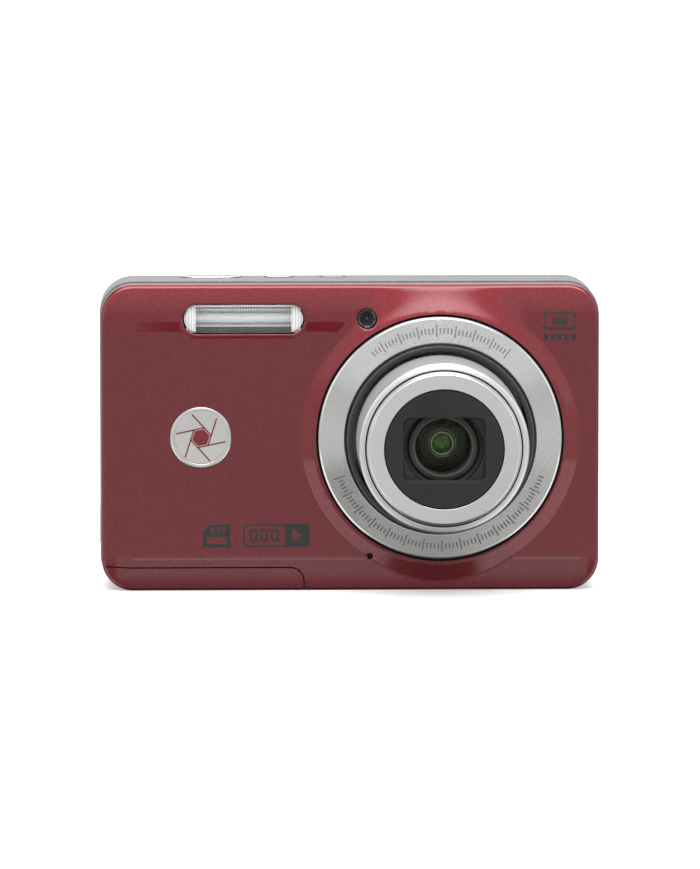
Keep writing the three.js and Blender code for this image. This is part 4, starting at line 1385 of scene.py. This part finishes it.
def print_into(builder, outline, holes=()):
    """A printed patch that follows the front's surface."""
    spots, loops, triangles = triangulate(outline, list(holes), 0.6)
    top = [builder.point(u, relief(u, v) - 0.018, v) for u, v in spots]
    low = [builder.point(u, relief(u, v) + 0.03, v) for u, v in spots]
    for a, b, c in triangles:
        builder.faces.append((top[a], top[b], top[c]))
        builder.faces.append((low[a], low[c], low[b]))
    for loop in loops:
        builder.bridge([top[i] for i in loop], [low[i] for i in loop])


def make_prints():
    """Plain pictograms: a film frame, a memory card, and a frame within a frame."""
    builder = Builder()
    x0, x1, z0, z1 = -19.6, -7.45, 8.1, 12.4
    split = x0 + 7.6
    play = [(split + 1.4, z0 + 1.0), (split + 3.2, (z0 + z1) / 2), (split + 1.4, z1 - 1.0)]
    film = rectangle(x0 + 0.3, split, z0 + 0.3, z1 - 0.3, 0.55)
    print_into(builder, rectangle(x0, x1, z0, z1, 0.8), [film, play])
    for k in range(3):
        left = x0 + 1.15 + k * 1.95
        hole = rectangle(left + 0.42, left + 1.08, z0 + 1.42, z1 - 1.42, 0.1)
        print_into(builder, rectangle(left, left + 1.5, z0 + 1.0, z1 - 1.0, 0.2), [hole])
    x0, x1, z0, z1 = -27.0, -21.9, 8.1, 12.3
    card = [(x0, z0), (x1, z0), (x1, z1), (x0 + 1.3, z1), (x0, z1 - 1.3)]
    starts = [x0 + 1.5 + k * 1.05 for k in range(3)]
    pads = [rectangle(u, u + 0.55, z1 - 1.5, z1 - 0.5, 0.1) for u in starts]
    label = rectangle(x0 + 0.8, x1 - 0.8, z0 + 0.6, z0 + 1.9, 0.15)
    print_into(builder, card, pads + [label])
    x0, x1, z0, z1 = 35.2, 41.3, 47.9, 51.2
    hole = rectangle(x0 + 0.5, x1 - 0.5, z0 + 0.5, z1 - 0.5, 0.2)
    print_into(builder, rectangle(x0, x1, z0, z1, 0.4), [hole])
    print_into(builder, rectangle(x0 + 1.7, x1 - 1.7, z0 + 1.0, z1 - 1.0, 0.2))
    for k in range(5):
        left = x0 + 0.1 + k * 1.25
        print_into(builder, rectangle(left, left + 0.85, 46.0, 47.1, 0.1))
    keep(builder.build("front_pictograms", PRINT, weighted=False), "root", "dark_grey_plastic")


# ---------------------------------------------------------------- small fittings
def make_microphone():
    x, z, r, y0, y1 = disc_of("microphone")
    profile = [(0.0, y0 + 0.1), (r - 0.3, y0 + 0.1), (r - 0.2, y0), (r, y0), (r, y1), (0.0, y1)]
    piece = lathe("microphone_felt", profile, DEEP_BLACK, (x, z), "Y", 32)
    keep(piece, "root", "black_plastic", "microphone")


def make_screws():
    """Round-headed screws with a cross recess."""
    for node in SCREW_NODES:
        x, y, z = node_middle(node)
        bottom = "bottom" in node
        (x0, x1), _, (z0, z1) = node_box(node)
        r = node_size(node)[1] / 2
        head = z0 if bottom else x1
        tail = z1 if bottom else x0
        inwards = 1 if bottom else -1
        profile = [
            (0.0, head), (r - 0.25, head), (r - 0.06, head + inwards * 0.08),
            (r, head + inwards * 0.25), (r, head + inwards * 0.6),
            (r * 0.58, head + inwards * 0.6), (r * 0.58, tail), (0.0, tail),
        ]
        centre = (x, y) if bottom else (y, z)
        piece = lathe(node + "_turned", profile, STEEL, centre, "Z" if bottom else "X", 40)
        cross = Builder()
        for wide, tall in ((0.75, 0.17), (0.17, 0.75)):
            if bottom:
                cross.box(x - wide, x + wide, y - tall, y + tall, head - 0.5, head + 0.4)
            else:
                cross.box(head - 0.4, head + 0.5, y - wide, y + wide, z - tall, z + tall)
        cut_away(piece, cross)
        keep(piece, "root", "steel", node)


def make_tripod_bush():
    x, y, _ = node_middle("tripod_bush")
    _, _, (z0, z1) = node_box("tripod_bush")
    r = node_size("tripod_bush")[0] / 2
    bore = 2.55
    profile = [(bore + 0.35, z0 + 0.02), (r - 0.2, z0 + 0.02), (r, z0 + 0.2), (r, z0 + 1.6)]
    profile += [(r - 0.6, z0 + 1.6), (r - 0.6, z1), (bore + 0.3, z1)]
    turns = 8
    pitch = (z1 - 0.9) / turns
    for k in range(turns):
        top = z1 - 0.1 - k * pitch
        profile += [(bore + 0.32, top - pitch * 0.5), (bore, top - pitch * 0.95)]
    bush = lathe("tripod_bush_threaded", profile, STEEL, (x, y), "Z", 72)
    keep(bush, "root", "steel", "tripod_bush")


def make_port_cover():
    (x0, x1), _, _ = node_box("port_cover")
    _, y, z = node_middle("port_cover")
    _, d, h = node_size("port_cover")
    outline = lambda inset: rounded_rectangle(y, z, d, h, 0.8, inset, 8)
    builder = Builder()
    pillow_into(builder, outline, x1, x0 + 0.03, 0.25, plane="YZ")
    keep(builder.build("port_cover_flap", RUBBER), "port_cover", "rubber", "port_cover")
    grip = Builder()
    for k in range(3):
        low = z + h / 2 - 1.2 - k * 0.55
        bar = lambda inset, low=low: rounded_rectangle(y, low, d - 2.2, 0.28, 0.13, min(inset, 0.1), 4)
        pillow_into(grip, bar, x0 + 0.3, x0 + 0.005, 0.03, plane="YZ")
    keep(grip.build("port_cover_grip", RUBBER), "port_cover", "rubber")


def make_status_led():
    x, z, r, y0, y1 = disc_of("status_led")
    profile = [(0.0, y0), (r, y0), (r, y1 - 0.25), (r - 0.15, y1 - 0.08), (r * 0.5, y1), (0.0, y1)]
    led = lathe("status_light_pipe", profile, LIGHT_PIPE, (x, z), "Y", 32)
    keep(led, "root", "clear_plastic", "status_led")


def soften_inner_parts():
    """Broken edges on the CAD parts that show as they are."""
    for node in ("battery", "memory_card", "battery_latch", "strap_lug", "card_socket", "usb_socket"):
        modifier = frame["nodes"][node].modifiers.new("broken_edges", "BEVEL")
        modifier.width = 0.0001
        modifier.segments = 2
        modifier.limit_method = "ANGLE"
        modifier.angle_limit = math.radians(40)


# ---------------------------------------------------------------- camera, light, floor
def make_stage():
    floor = Builder()
    floor.box(-3000, 3000, -3000, 3000, -6.0, -0.01)
    n = Nodes("pale_floor", (0.86, 0.86, 0.86), 0.55)
    grain = n.noise(40.0, 3.0)
    n.color(n.ramp(grain, 0.3, 0.7, (0.85, 0.85, 0.85), (0.88, 0.88, 0.88)))
    n.set(Emission_Color=(1.0, 1.0, 1.0, 1.0), Emission_Strength=0.28)
    ground = floor.build("floor", n.material, weighted=False)
    ground.visible_glossy = False


# How bright the studio looks by elevation in degrees, from straight down to straight up.
STUDIO = [
    (-90, 0.08),
    (-62, 0.12),
    (-52, 0.45),
    (-15.5, 0.40),
    (-12.5, 0.74),
    (-4, 0.84),
    (8, 0.66),
    (14, 0.95),
    (22, 0.95),
    (30, 0.64),
    (60, 0.8),
    (90, 0.95),
]

# Panels in the studio as (azimuth, elevation, half width, half height, softness, brightness), in
# degrees seen from the camera body; azimuth 0 is straight in front.
PANELS = [
    (0, 53, 38, 15.5, 5.5, 6.6),  # overhead
    (-60, 22, 13, 18, 5, 2.3),  # left
    (60, 22, 13, 18, 5, 2.3),  # right
    (0, -15, 12, 6, 3, 1.15),  # edge of the table
    (1.25, -0.45, 1.3, 3.45, 0.2, 0.03),  # dark gap that the front lens mirrors
    (1.6, -11.9, 3.0, 0.9, 0.4, 2.0),  # line of light on the table
    (0, -58.5, 21, 12, 4, 0.14),  # shade of the lens
    (180, 48, 30, 16, 8, 2.2),  # back
]
NEAR_TABLE = 1.6  # brightness of the table close in front
NEAR_TABLE_ANGLE = 40.0


def make_world():
    """Soft surroundings: bright all round and less so below, with soft panels and a dark gap."""
    world = bpy.data.worlds.new("studio")
    bpy.context.scene.world = world
    world.use_nodes = True
    tree = world.node_tree
    background = tree.nodes["Background"]
    where = tree.nodes.new("ShaderNodeTexCoord").outputs["Generated"]
    apart = tree.nodes.new("ShaderNodeSeparateXYZ")
    tree.links.new(where, apart.inputs["Vector"])

    def math_node(kind, *sources):
        node = tree.nodes.new("ShaderNodeMath")
        node.operation = kind
        for socket, source in zip(node.inputs, sources):
            if isinstance(source, (int, float)):
                socket.default_value = source
            else:
                tree.links.new(source, socket)
        return node.outputs["Value"]

    def step(value, low, high):
        node = tree.nodes.new("ShaderNodeMapRange")
        node.interpolation_type = "SMOOTHSTEP"
        node.inputs["From Min"].default_value = low
        node.inputs["From Max"].default_value = high
        tree.links.new(value, node.inputs["Value"])
        return node.outputs["Result"]

    def painted(under, mask, bright):
        node = tree.nodes.new("ShaderNodeMix")
        node.data_type = "RGBA"
        node.clamp_result = False
        tree.links.new(mask, node.inputs["Factor"])
        tree.links.new(under, node.inputs["A"])
        node.inputs["B"].default_value = (bright, bright, bright, 1.0)
        return node.outputs["Result"]

    elevation = math_node("MULTIPLY", math_node("ARCSINE", apart.outputs["Z"]), 180 / math.pi)
    forward = math_node("MULTIPLY", apart.outputs["Y"], -1.0)
    around = math_node("ARCTAN2", apart.outputs["X"], forward)
    azimuth = math_node("MULTIPLY", around, 180 / math.pi)

    height = tree.nodes.new("ShaderNodeMapRange")
    height.inputs["From Min"].default_value = -90.0
    height.inputs["From Max"].default_value = 90.0
    tree.links.new(elevation, height.inputs["Value"])
    ramp = tree.nodes.new("ShaderNodeValToRGB")
    while len(ramp.color_ramp.elements) < len(STUDIO):
        ramp.color_ramp.elements.new(0.5)
    for element, (angle, bright) in zip(ramp.color_ramp.elements, STUDIO):
        element.position = (angle + 90) / 180
        element.color = (bright, bright, bright, 1.0)
    tree.links.new(height.outputs["Result"], ramp.inputs["Fac"])
    look = ramp.outputs["Color"]

    straight = tree.nodes.new("ShaderNodeVectorMath")
    straight.operation = "DOT_PRODUCT"
    straight.inputs[1].default_value = (0.0, -math.cos(math.radians(6)), -math.sin(math.radians(6)))
    tree.links.new(where, straight.inputs[0])
    near, far = (math.cos(math.radians(NEAR_TABLE_ANGLE + d)) for d in (-1.5, 1.5))
    off_axis = step(straight.outputs["Value"], near, far)
    below = step(elevation, -12.0, -14.0)
    front = step(straight.outputs["Value"], -0.1, 0.1)
    above_feet = step(elevation, -60.0, -54.0)
    low_band = math_node("MULTIPLY", off_axis, below)
    mask = math_node("MULTIPLY", low_band, math_node("MULTIPLY", front, above_feet))
    look = painted(look, mask, NEAR_TABLE)

    for middle, level, half_width, half_height, soft, bright in PANELS:
        turned = math_node("WRAP", math_node("SUBTRACT", azimuth, float(middle)), 180.0, -180.0)
        across = math_node("ABSOLUTE", turned)
        up = math_node("ABSOLUTE", math_node("SUBTRACT", elevation, float(level)))
        sides = step(across, half_width + soft, half_width - soft)
        ends = step(up, half_height + soft, half_height - soft)
        look = painted(look, math_node("MULTIPLY", sides, ends), bright)
    tree.links.new(look, background.inputs["Color"])


def direction(azimuth, elevation):
    """The unit vector that way, in degrees; azimuth 0 is straight in front."""
    a, e = math.radians(azimuth), math.radians(elevation)
    return Vector((math.sin(a) * math.cos(e), -math.cos(a) * math.cos(e), math.sin(e)))


def aim(thing, away, distance, at):
    """Puts a light or a camera `distance` away from the point `at`, facing it."""
    thing.location = at + away * distance
    thing.rotation_euler = (-away).to_track_quat("-Z", "Y").to_euler()
    bpy.context.scene.collection.objects.link(thing)


def make_light():
    """One large softbox high behind the camera body, of radiance 1."""
    data = bpy.data.lights.new("overhead_softbox", "AREA")
    data.shape = "RECTANGLE"
    data.size = data.size_y = SOFTBOX_SIZE
    data.energy = math.pi * SOFTBOX_SIZE ** 2
    light = bpy.data.objects.new("overhead_softbox", data)
    aim(light, direction(180, 80), 1.5, Vector((0, 0, 0.03)))


SOFTBOX_SIZE = 1.2
CAMERA_DISTANCE = 1.3
CAMERA_AZIMUTH = -1.6
CAMERA_ELEVATION = 6.1
CAMERA_LENS = 365.2


def make_camera():
    data = bpy.data.cameras.new("camera")
    data.sensor_fit = "HORIZONTAL"
    data.sensor_width = 36.0
    data.lens = CAMERA_LENS
    data.clip_end = 20.0
    camera = bpy.data.objects.new("camera", data)
    away = direction(CAMERA_AZIMUTH, CAMERA_ELEVATION)
    aim(camera, away, CAMERA_DISTANCE, Vector((0.0, -0.006, 0.0285)))
    bpy.context.scene.camera = camera
    bpy.context.scene.view_settings.view_transform = "Standard"


STEPS = (
    dress_cad_nodes, make_camera, make_world, make_light, make_stage, make_front, make_rear,
    make_bezel_ring, make_barrels, make_front_plate, make_front_lens, make_zoom_group,
    make_blades, make_flash, make_lamp, make_top_buttons, make_rear_keys, make_screen, make_badge,
    make_prints, make_microphone, make_screws, make_tripod_bush, make_port_cover, make_status_led,
    soften_inner_parts,
)
for step in STEPS:
    step()
